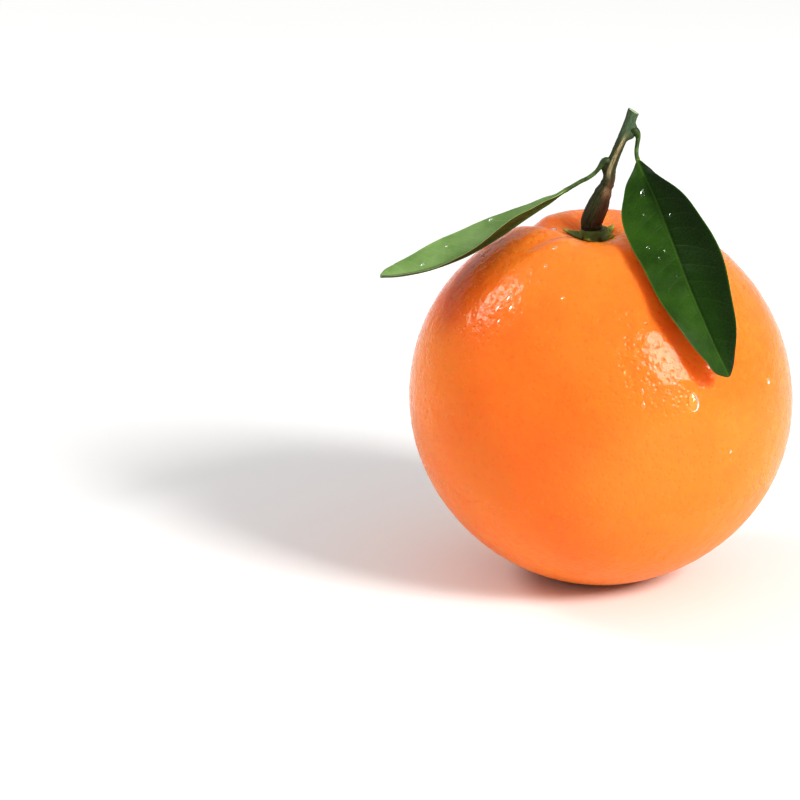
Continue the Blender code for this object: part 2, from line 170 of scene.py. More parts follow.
class CalyxSettings(bpy.types.PropertyGroup):
    """Sizes and colours of the calyx."""

    diameter: length("Diameter", "Width of the star without its lobes", 0.0094)
    lobe: length("Lobe length", "How far each lobe stands out", 0.0012)
    thickness: length("Thickness", "Height of the raised collar in the middle", 0.0022)
    collar: length("Collar", "Radius of the collar's flat top", 0.0029)
    slope: length("Slope", "Distance over which the collar falls away", 0.0013)
    edge: length("Edge thickness", "Thickness at the rim", 0.0005)
    green: colour("Green", "Colour of the lobes", (0.120, 0.170, 0.018))
    dry: colour("Dry", "Colour of the dry tips", (0.36, 0.34, 0.05))


class StemSettings(bpy.types.PropertyGroup):
    """Sizes and colours of the twig."""

    length: length("Length", "From the calyx to the cut end, straight", 0.0270)
    foot: length("Foot diameter", "Diameter where it meets the calyx", 0.0044)
    lower: length("Lower diameter", "Diameter below the node", 0.0046)
    upper: length("Upper diameter", "Diameter above the node", 0.0025)
    gap: length("Gap", "Gap that the frame keeps between pieces that touch", 0.0003)
    olive: colour("Olive", "Colour of the green bark", (0.040, 0.044, 0.008))
    brown: colour("Brown", "Colour of the corky bark", (0.088, 0.037, 0.011))
    tan: colour("Tan", "Colour of the pale streaks", (0.42, 0.34, 0.18))


class LeafSettings(bpy.types.PropertyGroup):
    """Sizes and colours of one leaf."""

    blade_length: length("Blade length", "Length of the blade", 0.0525)
    blade_width: length("Blade width", "Width of the blade", 0.0190)
    stalk_length: length("Stalk length", "Length of the stalk", 0.0070)
    stalk_foot: length("Stalk foot", "Diameter of the stalk's swollen foot", 0.0018)
    stalk: length("Stalk", "Diameter of the stalk", 0.0009)
    thickness: length("Thickness", "Thickness of the blade", 0.0005)
    rib: length("Midrib", "Thickness at the midrib", 0.0011)
    clearance: length("Clearance", "From the blade's middle to the peel", 0.0013)
    vein_step: length("Vein spacing", "Distance between side veins along the midrib", 0.0043)
    upper: colour("Upper side", "Colour of the upper side", (0.012, 0.040, 0.002))
    pale: colour("Pale drift", "Lighter colour of its drifts", (0.026, 0.074, 0.004))
    under: colour("Under side", "Colour of the under side", (0.14, 0.22, 0.07))
    vein: colour("Veins", "Colour of the veins", (0.060, 0.125, 0.020))
    darker_half: share("Darker half", "How far the half away from the light is darker", 0.9)
    vein_show: share("Side veins", "How clearly the side veins show", 0.05)
    roughness: share("Roughness", "How matt the blade is", 0.36)
    shine: share("Shine", "Strength of the reflections", 0.15)


class StageSettings(bpy.types.PropertyGroup):
    """The floor, the lights and the camera."""

    floor: colour("Floor", "Colour of the floor", (0.86, 0.86, 0.855))
    floor_radius: length("Floor radius", "Radius of the floor", 6.0)
    distance: length("Camera distance", "From the fruit's middle plane to the camera", 1.0)
    elevation: FloatProperty(name="Elevation", description="Angle from which the camera looks "
                             "down", default=math.radians(18.0), subtype="ANGLE",
                             unit="ROTATION")
    aside: length("Aim to the left", "How far left of the fruit the camera aims", 0.0432)
    below: length("Aim below", "How far below the fruit's middle it aims", 0.00065)
    lens: FloatProperty(name="Lens", description="Focal length in millimetres", default=208.5)
    key: FloatProperty(name="Key light", description="Power of the main soft light",
                       default=26.0, unit="POWER")
    sheen: FloatProperty(name="Sheen panel", description="Power of the panel that only shows "
                         "as a reflection", default=43.0, unit="POWER")
    back: FloatProperty(name="Back light", description="Power of the soft light from behind "
                        "on the left", default=7.0, unit="POWER")
    sky: FloatProperty(name="Room light", description="Strength of the even light of the room",
                       default=0.50)


# ---- numbers and curves ---------------------------------------------------------------------

def smooth_step(value):
    value = np.clip(value, 0.0, 1.0)
    return value * value * (3.0 - 2.0 * value)


def bell(value):
    """A bell curve that is 1 at 0 and falls to about a third at 1."""
    return np.exp(-value ** 2)


def curve_through(knots, values, at):
    """A smooth cubic curve through the values at the knots, one column for each coordinate."""
    knots = np.asarray(knots, float)
    values = np.asarray(values, float)
    if values.ndim == 1:
        return curve_through(knots, values[:, None], at)[:, 0]
    slopes = np.gradient(values, knots, axis=0)
    cell = np.clip(np.searchsorted(knots, at, side="right") - 1, 0, len(knots) - 2)
    width = knots[cell + 1] - knots[cell]
    t = ((at - knots[cell]) / width)[:, None]
    width = width[:, None]
    return ((2 * t ** 3 - 3 * t ** 2 + 1) * values[cell]
            + (t ** 3 - 2 * t ** 2 + t) * width * slopes[cell]
            + (3 * t ** 2 - 2 * t ** 3) * values[cell + 1]
            + (t ** 3 - t ** 2) * width * slopes[cell + 1])


def lattice_numbers(cell, seed):
    """Three repeatable numbers from 0 to 1 for each cell of a lattice, from a steep sine."""
    along = cell @ np.array((12.9898, 78.233, 37.719)) + seed
    steep = np.sin(along[..., None] * np.array((1.0, 1.31, 1.73))) * 43758.5453
    return steep - np.floor(steep)


def lattice_steps(lowest, highest):
    side = np.arange(lowest, highest + 1)
    return np.stack(np.meshgrid(side, side, side, indexing="ij"), axis=-1).reshape(-1, 3)


def scattered(points, size, seed=0.0):
    """Distance, in cells, to the nearest of a cloud with one point in each cell of a lattice."""
    scaled = points / size
    base = np.floor(scaled)
    nearest = np.full(points.shape[:-1], 9.0)
    for step in lattice_steps(-1, 1):
        cell = base + step
        centre = cell + lattice_numbers(cell, seed)
        nearest = np.minimum(nearest, np.linalg.norm(centre - scaled, axis=-1))
    return nearest


def drift(points, size, seed=0.0):
    """Smooth noise from 0 to 1: numbers on a lattice, blended from corner to corner."""
    scaled = points / size
    base = np.floor(scaled)
    inside = smooth_step(scaled - base)
    total = np.zeros(points.shape[:-1])
    for step in lattice_steps(0, 1):
        weight = np.prod(np.where(step == 1, inside, 1.0 - inside), axis=-1)
        total = total + weight * lattice_numbers(base + step, seed)[..., 0]
    return total


# ---- meshes ---------------------------------------------------------------------------------

def closed_rings(rings, first, last):
    """Points and faces of a closed body: rings joined in order, with a fan at each end."""
    count, columns = rings.shape[:2]
    points = np.concatenate((rings.reshape(-1, 3), first[None, :], last[None, :]))
    row, column = np.meshgrid(np.arange(count - 1), np.arange(columns), indexing="ij")
    here = row * columns + column
    beside = row * columns + (column + 1) % columns
    quads = np.stack((here, here + columns, beside + columns, beside), axis=-1).reshape(-1, 4)
    edge = np.arange(columns)
    beyond = (edge + 1) % columns
    start = np.stack((np.full(columns, count * columns), edge, beyond), axis=-1)
    base = (count - 1) * columns
    end = np.stack((np.full(columns, count * columns + 1), base + beyond, base + edge), axis=-1)
    return points, quads.tolist() + start.tolist() + end.tolist()


def joined(bodies):
    """The points and faces of several closed bodies as one list of each."""
    points = np.concatenate([body[0] for body in bodies])
    starts = np.cumsum([0] + [len(body[0]) for body in bodies])
    faces = [[start + corner for corner in face]
             for start, (_, body_faces) in zip(starts.tolist(), bodies) for face in body_faces]
    return points, faces


def per_point(values, first, last):
    """A value for each point of a closed body, in the order of closed_rings."""
    return np.concatenate((values.reshape(-1), [first, last]))


def add_piece(name, points, faces, looks, node, attributes=None):
    """The finished piece: a smooth mesh in the frame's own metres, riding on the object."""
    mesh = bpy.data.meshes.new(name)
    mesh.from_pydata(points.tolist(), [], faces)
    for key, values in (attributes or {}).items():
        kind = "FLOAT" if values.ndim == 1 else "FLOAT_VECTOR"
        field = "value" if values.ndim == 1 else "vector"
        layer = mesh.attributes.new(key, kind, "POINT")
        layer.data.foreach_set(field, values.astype(np.float32).ravel())
    for look in looks:
        mesh.materials.append(look)
    mesh.shade_smooth()
    mesh.update()
    piece = bpy.data.objects.new(name, mesh)
    bpy.context.scene.collection.objects.link(piece)
    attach(piece, BODY)
    if node:
        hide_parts(node)
    return piece


# ---- the fruit's form -----------------------------------------------------------------------

class Fruit:
    """The form of the fruit, which its calyx, stem, leaves and drops follow."""

    def __init__(self, sizes):
        self.sizes = sizes
        self.radius = sizes.diameter / 2
        level = math.sqrt(1.0 - (sizes.seat / sizes.diameter) ** 2)
        self.middle_height = sizes.lower_height * level
        self.seat_angle = math.pi - math.atan2(sizes.seat / 2, self.middle_height)
        self.middle = np.array((0.0, 0.0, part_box("fruit")[0].z + self.middle_height))
        self.hollow_floor = sizes.upper_height - sizes.hollow_depth

    def lean(self, points, amount=1.0):
        """Points turned about Y by the lean of the axis, or by a part of it."""
        angle = -self.sizes.lean * amount
        x, y, z = points[..., 0], points[..., 1], points[..., 2]
        return np.stack((x * np.cos(angle) + z * np.sin(angle), y,
                         z * np.cos(angle) - x * np.sin(angle)), axis=-1)

    def peel_radius(self, polar, bearing):
        """Distance of the peel from the middle: a round form less the hollow and furrows.

        The round form is an upper and a lower half ellipsoid, with slow waves on its flanks.
        The hollow is a bell curve of the distance from the axis. Each furrow is a bell curve
        across its bearing, times another one along its length.
        """
        sizes = self.sizes
        height = np.where(polar < math.pi / 2, sizes.upper_height, sizes.lower_height)
        round_form = 1.0 / np.sqrt((np.sin(polar) / self.radius) ** 2
                                   + (np.cos(polar) / height) ** 2)
        flank = smooth_step((polar - 0.5) / 0.6) * smooth_step((self.seat_angle - polar) / 0.9)
        waves = np.sin(2 * bearing + 0.7 + polar) + 0.6 * np.sin(3 * bearing - 2.1 * polar)
        away = self.radius * np.sin(np.minimum(polar, math.pi / 2))
        hollow = sizes.hollow_depth * bell(away / sizes.hollow_width)
        furrows = 0.0
        for start, turning, depth, reach, spread in FURROWS:
            turn = bearing - np.radians(start + turning * away / MM)
            aside = np.where(np.cos(turn) > 0.0, away * np.sin(turn) / sizes.furrow_width, 9.0)
            opening = smooth_step(away / (reach * 0.5))
            furrows = furrows + depth * bell(aside) * bell((away - reach) / spread) * opening
        upper = smooth_step((math.pi / 2 - polar) / 0.8)
        return round_form + sizes.unevenness * flank * waves - (hollow + furrows) * upper

    def wrinkles(self, polar, bearing):
        """Fine pleats that run out from the calyx, deepest a little way up the hollow's wall."""
        away = self.radius * np.sin(np.minimum(polar, math.pi / 2))
        upper = smooth_step((math.pi / 2 - polar) / 0.8)
        pleat = np.cos(19 * bearing + 2.5 * np.sin(2 * bearing + 1.0))
        broad = np.cos(8 * bearing + 1.7 * np.sin(3 * bearing))
        inner = bell((away - 6.0 * MM) / (2.6 * MM))
        outer = bell((away - 9.5 * MM) / (4.0 * MM))
        return 0.07 * MM * pleat * inner * upper + 0.10 * MM * broad * outer * upper

    def point(self, polar, bearing, radius):
        """Points around the middle, leaning with the axis: polar is the angle from the top."""
        place = np.stack((radius * np.sin(polar) * np.cos(bearing),
                          radius * np.sin(polar) * np.sin(bearing),
                          radius * np.cos(polar)), axis=-1)
        seat = math.cos(self.seat_angle)
        amount = (np.cos(polar) - seat) / (1.0 - seat)
        return self.lean(place, amount) + self.middle

    def clear_of_peel(self, points, clearance):
        """Points moved out from the middle until they are clear of the peel."""
        out = points - self.middle
        distance = np.linalg.norm(out, axis=-1, keepdims=True)
        height = np.where(out[..., 2:] > 0.0, self.sizes.upper_height, self.sizes.lower_height)
        level = np.linalg.norm(out[..., :2], axis=-1, keepdims=True) / self.radius
        clear = distance / np.sqrt(level ** 2 + (out[..., 2:] / height) ** 2)
        clear = clear + clearance + self.sizes.unevenness
        return points + out / distance * np.maximum(clear - distance, 0.0)


SHOULDER_ANGLE = math.radians(34.0)     # from the top down to where the rows are wider apart
SHOULDER_ROWS = 75
FLANK_ROWS = 162


def fruit_shape(fruit):
    """Rings from the floor of the hollow to the edge of the seat, with dimples in the peel.

    A dimple is a shallow bowl around each of a cloud of points. Smooth noise makes low swellings
    between them, which are highest on the shoulder. Both fade out at the seat.
    """
    sizes = fruit.sizes
    polar = np.concatenate((np.linspace(0.0, SHOULDER_ANGLE, SHOULDER_ROWS + 1)[1:],
                            np.linspace(SHOULDER_ANGLE + math.radians(0.5), fruit.seat_angle,
                                        FLANK_ROWS)))
    bearing = np.arange(sizes.columns) * (2 * math.pi / sizes.columns)
    polar, bearing = np.meshgrid(polar, bearing, indexing="ij")
    radius = fruit.peel_radius(polar, bearing) - np.abs(fruit.wrinkles(polar, bearing))
    place = fruit.point(polar, bearing, radius)
    fade = smooth_step((fruit.seat_angle - polar) / 0.06) * smooth_step(polar / 0.12)
    size = sizes.dimple_size
    bowls = 1.0 - smooth_step(scattered(place, size) / 0.62)
    small = 1.0 - smooth_step(scattered(place, size * 0.62, 5.0) / 0.60)
    sunk = sizes.dimple_depth * (bowls + 0.5 * small) * (0.5 + drift(place, 6.0 * MM, 2.0))
    shoulder = 0.35 + 0.65 * smooth_step((1.35 - polar) / 0.7)
    swollen = drift(place, 3.4 * MM, 4.0) + 0.6 * drift(place, 1.7 * MM, 9.0) - 0.8
    swollen = sizes.rumple * swollen * shoulder
    rings = fruit.point(polar, bearing, radius - (sunk - swollen) * fade)
    top = fruit.point(np.array(0.0), np.array(0.0), np.array(fruit.hollow_floor))
    seat = fruit.middle - np.array((0.0, 0.0, fruit.middle_height))
    return closed_rings(rings, top, seat)


# ---- shaders --------------------------------------------------------------------------------

class Value:
    """A number on a node tree. Arithmetic with it adds Math nodes."""

    def __init__(self, tree, socket):
        self.tree = tree
        self.socket = socket

    def math(self, operation, *values):
        settings = {"operation": operation}
        return self.tree.node("ShaderNodeMath", settings, dict(enumerate(values)))

    def __add__(self, other):
        return self.math("ADD", self, other)

    def __radd__(self, other):
        return self.math("ADD", other, self)

    def __sub__(self, other):
        return self.math("SUBTRACT", self, other)

    def __rsub__(self, other):
        return self.math("SUBTRACT", other, self)

    def __mul__(self, other):
        return self.math("MULTIPLY", self, other)

    def __rmul__(self, other):
        return self.math("MULTIPLY", other, self)

    def __pow__(self, other):
        return self.math("POWER", self, other)

    def __abs__(self):
        return self.math("ABSOLUTE", self)

    def rising(self, low, high):
        """0 up to low, 1 from high, and a smooth step between them."""
        inputs = {"Value": self, "From Min": low, "From Max": high}
        settings = {"interpolation_type": "SMOOTHSTEP"}
        return self.tree.node("ShaderNodeMapRange", settings, inputs)

    def falling(self, low, high):
        return 1.0 - self.rising(low, high)

    def near(self, centre, width):
        """1 at the centre, and 0 from a width away."""
        return abs(self - centre).falling(0.0, width)


class Tree:
    """A material's node tree, written as expressions."""

    def __init__(self, name):
        self.material = bpy.data.materials.new(name)
        self.material.use_nodes = True
        self.tree = self.material.node_tree
        self.surface = self.tree.nodes["Principled BSDF"]

    def plug(self, socket, value):
        if isinstance(value, Value):
            self.tree.links.new(value.socket, socket)
        elif isinstance(value, (tuple, list)) and socket.type == "RGBA":
            socket.default_value = (*value[:3], 1.0)
        else:
            socket.default_value = value

    def node(self, kind, settings, inputs, output=0):
        """A node with its settings made first, then its inputs as values or links."""
        made = self.tree.nodes.new(kind)
        for key, value in settings.items():
            setattr(made, key, value)
        for key, value in inputs.items():
            self.plug(made.inputs[key], value)
        return Value(self, made.outputs[output])

    def place(self):
        return self.node("ShaderNodeTexCoord", {}, {}, "Object")

    def attribute(self, name, output="Fac"):
        return self.node("ShaderNodeAttribute", {"attribute_name": name}, {}, output)

    def noise(self, vector, scale, detail=2.0, roughness=0.5):
        inputs = {"Vector": vector, "Scale": scale, "Detail": detail, "Roughness": roughness}
        return self.node("ShaderNodeTexNoise", {}, inputs)

    def cells(self, vector, scale, feature="F1"):
        inputs = {"Vector": vector, "Scale": scale}
        return self.node("ShaderNodeTexVoronoi", {"feature": feature}, inputs, "Distance")

    def stretched(self, vector, scale):
        return self.node("ShaderNodeMapping", {}, {"Vector": vector, "Scale": scale})

    def parts(self, vector):
        """The x, y and z of a vector."""
        made = self.tree.nodes.new("ShaderNodeSeparateXYZ")
        self.plug(made.inputs[0], vector)
        return [Value(self, made.outputs[index]) for index in range(3)]

    def mix(self, factor, first, second):
        """The first colour where the factor is 0, and the second where it is 1."""
        settings = {"data_type": "RGBA"}
        return self.node("ShaderNodeMix", settings, {0: factor, 6: first, 7: second}, 2)

    def bump(self, height, distance, strength=1.0):
        inputs = {"Height": height, "Distance": distance, "Strength": strength}
        return self.node("ShaderNodeBump", {}, inputs)

    def finish(self, **sockets):
        """Sets the surface's own sockets: words with _ for the spaces of their names."""
        for key, value in sockets.items():
            self.plug(self.surface.inputs[key.replace("_", " ")], value)
        return self.material


def tinted(value, factor):
    """A colour made darker or lighter by a factor."""
    return tuple(channel * factor for channel in value)


def peel_look(fruit):
    """Waxy peel: colour drifts, darker oil pores, a painted shade on the left shoulder, a paler
    hollow.

    The lower half is more matt than the shoulder, and a brown scar marks the resting spot.
    """
    sizes = fruit.sizes
    tree = Tree("orange_peel")
    place = tree.place()
    x, y, z = tree.parts(place)
    slow = tree.noise(place, 26.0, 2.0, 0.5)
    fine = tree.noise(place, 190.0, 4.0, 0.6)
    pores = tree.cells(place, 760.0)
    small_pores = tree.cells(place, 1350.0)
    pit = pores.falling(0.05, 0.42)
    speck = small_pores.falling(0.05, 0.40)
    # yellower towards the key light: partly the fruit's own sunny side, partly painted light
    sunny_and_lit_side = (x + z * 0.35 - y * 0.25).rising(-20.0 * MM, 45.0 * MM)
    base = tree.mix(slow.rising(0.30, 0.62), tuple(sizes.deep), tuple(sizes.ripe))
    base = tree.mix(slow.rising(0.45, 0.75) * 0.35 + sunny_and_lit_side * 0.08, base, tuple(sizes.bright))
    # painted shade: redder high on the left shoulder, where the left leaf casts its shadow
    flush = x.falling(-35.0 * MM, -15.0 * MM) * z.rising(54.0 * MM, 66.0 * MM)
    base = tree.mix(flush * 0.70, base, tuple(sizes.flush))
    base = tree.mix(fine.rising(0.40, 0.75) * 0.16, base, tuple(sizes.bright))
    base = tree.mix(pit * 0.16, base, tinted(sizes.deep, 0.78))
    base = tree.mix(speck * 0.08, base, tinted(sizes.deep, 0.85))
    away = (x * x + y * y) ** 0.5
    hollow = away.falling(4.0 * MM, 15.0 * MM) * z.rising(60.0 * MM, 70.0 * MM)
    base = tree.mix(hollow * 0.45, base, tuple(sizes.hollow))
    scar = away.falling(1.2 * MM, 2.6 * MM) * z.falling(1.0 * MM, 4.0 * MM)
    base = tree.mix(scar, base, tuple(sizes.scar))
    swell = tree.noise(place, 430.0, 2.0, 0.5)
    broad = tree.noise(place, 210.0, 1.0, 0.5)
    height = swell * 0.8 + broad * 0.9 - pit * 0.40 - speck * 0.18
    matt = z.falling(12.0 * MM, 48.0 * MM)
    roughness = 0.07 + fine * 0.07 + pit * 0.10 + matt * 0.24 + scar * 0.30
    return tree.finish(
        Base_Color=base, Roughness=roughness, Normal=tree.bump(height, 0.22 * MM, 0.8),
        IOR=1.45, Specular_IOR_Level=0.20, Subsurface_Weight=0.80,
        Subsurface_Radius=(1.0, 0.13, 0.04), Subsurface_Scale=8.0 * MM)


# ---- operators ------------------------------------------------------------------------------

class BuildFruit(bpy.types.Operator):
    """Build the fruit with its hollow, furrows, dimples and flat resting spot"""

    bl_idname = "orange.build_fruit"
    bl_label = "Fruit"

    def execute(self, context):
        fruit = Fruit(context.scene.orange_fruit)
        points, faces = fruit_shape(fruit)
        add_piece("peel", points, faces, [peel_look(fruit)], "fruit")
        return {"FINISHED"}


CALYX_COLUMNS = 200
CALYX_FIRST_LOBE = math.radians(180.0)
LOBE_EXTRAS = (1.55, 1.10, 0.75, 0.80, 1.0)     # each lobe's own length, as a share
KEEL_HEIGHT = 0.22 * MM
PLEAT_HEIGHT = 0.05 * MM
TIP_CURL = 0.25 * MM
THINNEST_CALYX = 0.04 * MM


def calyx_shape(fruit, sizes, gap):
    """A star that lies in the hollow: an upper face that dishes up to its lobes, and a lower one.

    The outline is a circle plus lobes, each one a power of a cosine of the bearing, and each
    with its own length. Both faces are rings at shares of the outline: the lower one lies on
    the peel, and the upper one stands off it by a thickness that thins out to the rim. The
    tips curl up, a low keel runs along each lobe, and a round collar stands up in the middle.
    """
    bearing = np.arange(CALYX_COLUMNS) * (2 * math.pi / CALYX_COLUMNS)
    turn = CALYX_LOBES * (bearing - CALYX_FIRST_LOBE) / 2
    lobe = np.cos(turn) ** 2
    which = np.round((bearing - CALYX_FIRST_LOBE) * CALYX_LOBES / (2 * math.pi)) % CALYX_LOBES
    extra = np.array(LOBE_EXTRAS)[which.astype(int)]
    ragged = 0.05 * np.sin(11 * bearing + 1.0) + 0.04 * np.sin(23 * bearing)
    outline = sizes.diameter / 2 - sizes.lobe + sizes.lobe * (2 * extra * lobe + ragged)
    out = np.concatenate((np.linspace(0.0, 0.9, 22)[1:], np.linspace(0.92, 1.0, 7)))[:, None]
    polar = np.arcsin(out * outline[None, :] / fruit.radius)
    spread = np.broadcast_to(bearing, polar.shape)
    peel = fruit.peel_radius(polar, spread)
    rim = np.sqrt(np.clip(1.0 - out ** 6, 0.0, 1.0))
    thick = sizes.edge * rim * (0.75 + 0.25 * lobe)
    keel = KEEL_HEIGHT * bell(np.sin(turn) / 0.16) * smooth_step((out - 0.35) / 0.3) * rim
    pleats = PLEAT_HEIGHT * np.cos(41 * bearing) * smooth_step((out - 0.2) / 0.5) * rim
    curl = TIP_CURL * (lobe * out) ** 3 * extra
    top = fruit.hollow_floor + gap + sizes.thickness
    high = peel + gap + thick + keel + pleats + curl
    raised = 1.0 - smooth_step((out * outline[None, :] - sizes.collar) / sizes.slope)
    collar = fruit.hollow_floor + (top - fruit.hollow_floor) * raised
    high = np.maximum(high, collar / np.cos(polar))
    low = peel + 0.25 * gap + curl * 0.9
    upper = fruit.point(polar, spread, high)
    lower = fruit.point(polar, spread, np.minimum(low, high - THINNEST_CALYX))
    rings = np.concatenate((upper, lower[::-1]))
    above = fruit.point(np.array(0.0), np.array(0.0), np.array(top))
    below = fruit.point(np.array(0.0), np.array(0.0), np.array(fruit.hollow_floor + 0.25 * gap))
    points, faces = closed_rings(rings, above, below)
    tip = np.broadcast_to(out * (0.4 + 0.6 * lobe), polar.shape)
    return points, faces, per_point(np.concatenate((tip, tip[::-1])), 0.0, 0.0)


def calyx_look(sizes):
    """Dry green star: darker in the middle, yellow towards its tips, with fine fibres."""
    tree = Tree("calyx_green")
    place = tree.place()
    tip = tree.attribute("tip")
    fibre = tree.noise(place, 1500.0, 4.0, 0.6)
    blotch = tree.noise(place, 420.0, 3.0, 0.55)
    base = tree.mix(blotch.rising(0.35, 0.65), tinted(sizes.green, 0.55), tuple(sizes.green))
    base = tree.mix(tip.rising(0.62, 0.95) * blotch.rising(0.32, 0.56), base, tuple(sizes.dry))
    base = tree.mix(fibre.rising(0.52, 0.70) * 0.35, base, tinted(sizes.dry, 0.55))
    height = fibre * 0.6 + blotch * 0.4
    return tree.finish(Base_Color=base, Roughness=0.48 + blotch * 0.25,
                       Normal=tree.bump(height, 0.12 * MM, 0.8), IOR=1.45)


class BuildCalyx(bpy.types.Operator):
    """Build the star-shaped calyx that lies in the hollow"""

    bl_idname = "orange.build_calyx"
    bl_label = "Calyx"

    def execute(self, context):
        scene = context.scene
        fruit = Fruit(scene.orange_fruit)
        sizes = scene.orange_calyx
        points, faces, tip = calyx_shape(fruit, sizes, scene.orange_stem.gap)
        add_piece("calyx_star", points, faces, [calyx_look(sizes)], "calyx",
                  {"tip": tip})
        return {"FINISHED"}


# ---- the twig -------------------------------------------------------------------------------

STEM_COLUMNS = 72
STEM_ROWS = 190
STEM_INTO_CALYX = 0.5 * MM      # how far the twig's foot runs down into the calyx
CUT_SLOPE = 0.42                # of the slanted cut at the end
CUT_ROWS = 7
CUT_DISH = 0.10 * MM            # how far the cut wood sinks in its middle
CUT_MARK = 1.2                  # stands for the share along the twig on the cut wood
LEAF_SHARES = (0.515, 0.835)    # along the twig, where a cushion swells under each leaf


class Stem:
    """The bent line of the twig and its radius, which the leaves start from."""

    def __init__(self, fruit, calyx, sizes):
        self.sizes = sizes
        top = fruit.hollow_floor + sizes.gap + calyx.thickness
        foot = np.array((0.0, 0.0, top + sizes.gap))
        self.fruit = fruit
        self.foot = fruit.lean(foot) + fruit.middle

    def line(self, along):
        """The middle line at shares of its length, leaning with the fruit."""
        bends = curve_through(STEM_KNOTS, STEM_BENDS, np.atleast_1d(along))
        return self.fruit.lean(bends * self.sizes.length) + self.foot

    def radius(self, along):
        """A thick lower part, a swollen node, and a thin upper part."""
        lower = self.sizes.lower / 2
        upper = self.sizes.upper / 2
        knots = (0.0, 0.05, 0.18, 0.25, 0.30, 0.35, 0.40, 0.465, 0.54, 0.63, 0.80, 1.0)
        radii = (self.sizes.foot / 2, lower * 0.98, lower, lower * 0.90, lower * 0.78,
                 lower * 0.68, upper * 1.12, upper * 1.02, upper * 0.93, upper * 0.86,
                 upper * 0.86, upper)
        return curve_through(knots, radii, np.atleast_1d(along))


def stem_shape(stem):
    """A ridged round profile carried along the bent line, and a slanted, dished cut end.

    The radius is the twig's own, times one plus low ridges that run along it, plus small
    swellings: rings at the foot, a scar ring at the node, and a cushion under each leaf stalk.
    """
    along = np.linspace(0.0, 1.0, STEM_ROWS)
    turn = np.arange(STEM_COLUMNS) * (2 * math.pi / STEM_COLUMNS)
    line = stem.line(along)
    line[0] = line[0] - (line[1] - line[0]) / np.linalg.norm(line[1] - line[0]) * STEM_INTO_CALYX
    tangent = np.gradient(line, axis=0)
    tangent = tangent / np.linalg.norm(tangent, axis=1, keepdims=True)
    side = np.array((1.0, 0.0, 0.0)) - tangent * tangent[:, :1]
    side = side / np.linalg.norm(side, axis=1, keepdims=True)
    facing = np.cross(side, tangent)
    share_along, around = np.meshgrid(along, turn, indexing="ij")
    radius = np.broadcast_to(stem.radius(along)[:, None], share_along.shape)
    ridges = (0.022 * np.cos(5 * around + 3.0 * share_along + 0.4)
              + 0.012 * np.cos(9 * around - 4.0 * share_along)
              + 0.006 * np.cos(17 * around + 9.0 * share_along))
    bark = np.stack((np.cos(around) * 1.7, np.sin(around) * 1.7, share_along * 9.0), axis=-1)
    lumps = 0.10 * (drift(bark, 0.55, 3.0) - 0.5) + 0.05 * (drift(bark, 0.22, 8.0) - 0.5)
    foot_rings = (0.03 * bell((share_along - 0.020) / 0.016)
                  - 0.02 * bell((share_along - 0.055) / 0.012)
                  + 0.02 * bell((share_along - 0.100) / 0.014))
    node = (0.10 * bell((share_along - 0.315) / 0.022) - 0.06 * bell((share_along - 0.365) / 0.013)
            + 0.05 * bell((share_along - 0.390) / 0.010))
    left_cushion = bell((share_along - LEAF_SHARES[0]) / 0.045) * bell((around - math.pi) / 0.55)
    right = np.minimum(around, 2 * math.pi - around)
    right_cushion = bell(((share_along - LEAF_SHARES[1]) / 0.060) ** 2) * bell(right / 0.62)
    cushions = 0.80 * left_cushion + 1.05 * right_cushion
    radius = radius * (1.0 + ridges + lumps + foot_rings + node + cushions)
    rings = (line[:, None, :] + (radius * np.cos(around))[..., None] * side[:, None, :]
             + (radius * np.sin(around))[..., None] * facing[:, None, :])
    slant = smooth_step((share_along - 0.90) / 0.10)
    lowering = slant * CUT_SLOPE * (radius + radius * np.cos(around)) * 0.5
    rings = rings - lowering[..., None] * tangent[:, None, :]
    place = np.stack((np.cos(around), np.sin(around), share_along), axis=-1)
    centre = rings[-1].mean(axis=0)
    inward = np.linspace(1.0, 0.0, CUT_ROWS + 2)[1:-1, None, None]
    dish = CUT_DISH * (1.0 - inward ** 2 - 0.5 * bell((inward - 0.15) / 0.12))
    face = centre + (rings[-1] - centre)[None] * inward - dish * tangent[-1]
    rings = np.concatenate((rings, face))
    face_place = np.broadcast_to(place[-1], face.shape).copy()
    face_place[..., :2] = face_place[..., :2] * inward
    face_place[..., 2] = CUT_MARK
    place = np.concatenate((place, face_place))
    last = centre - dish[-1, 0] * tangent[-1]
    points, faces = closed_rings(rings, line[0], last)
    ends = np.array(((0.0, 0.0, 0.0), (0.0, 0.0, CUT_MARK)))
    return points, faces, np.concatenate((place.reshape(-1, 3), ends))


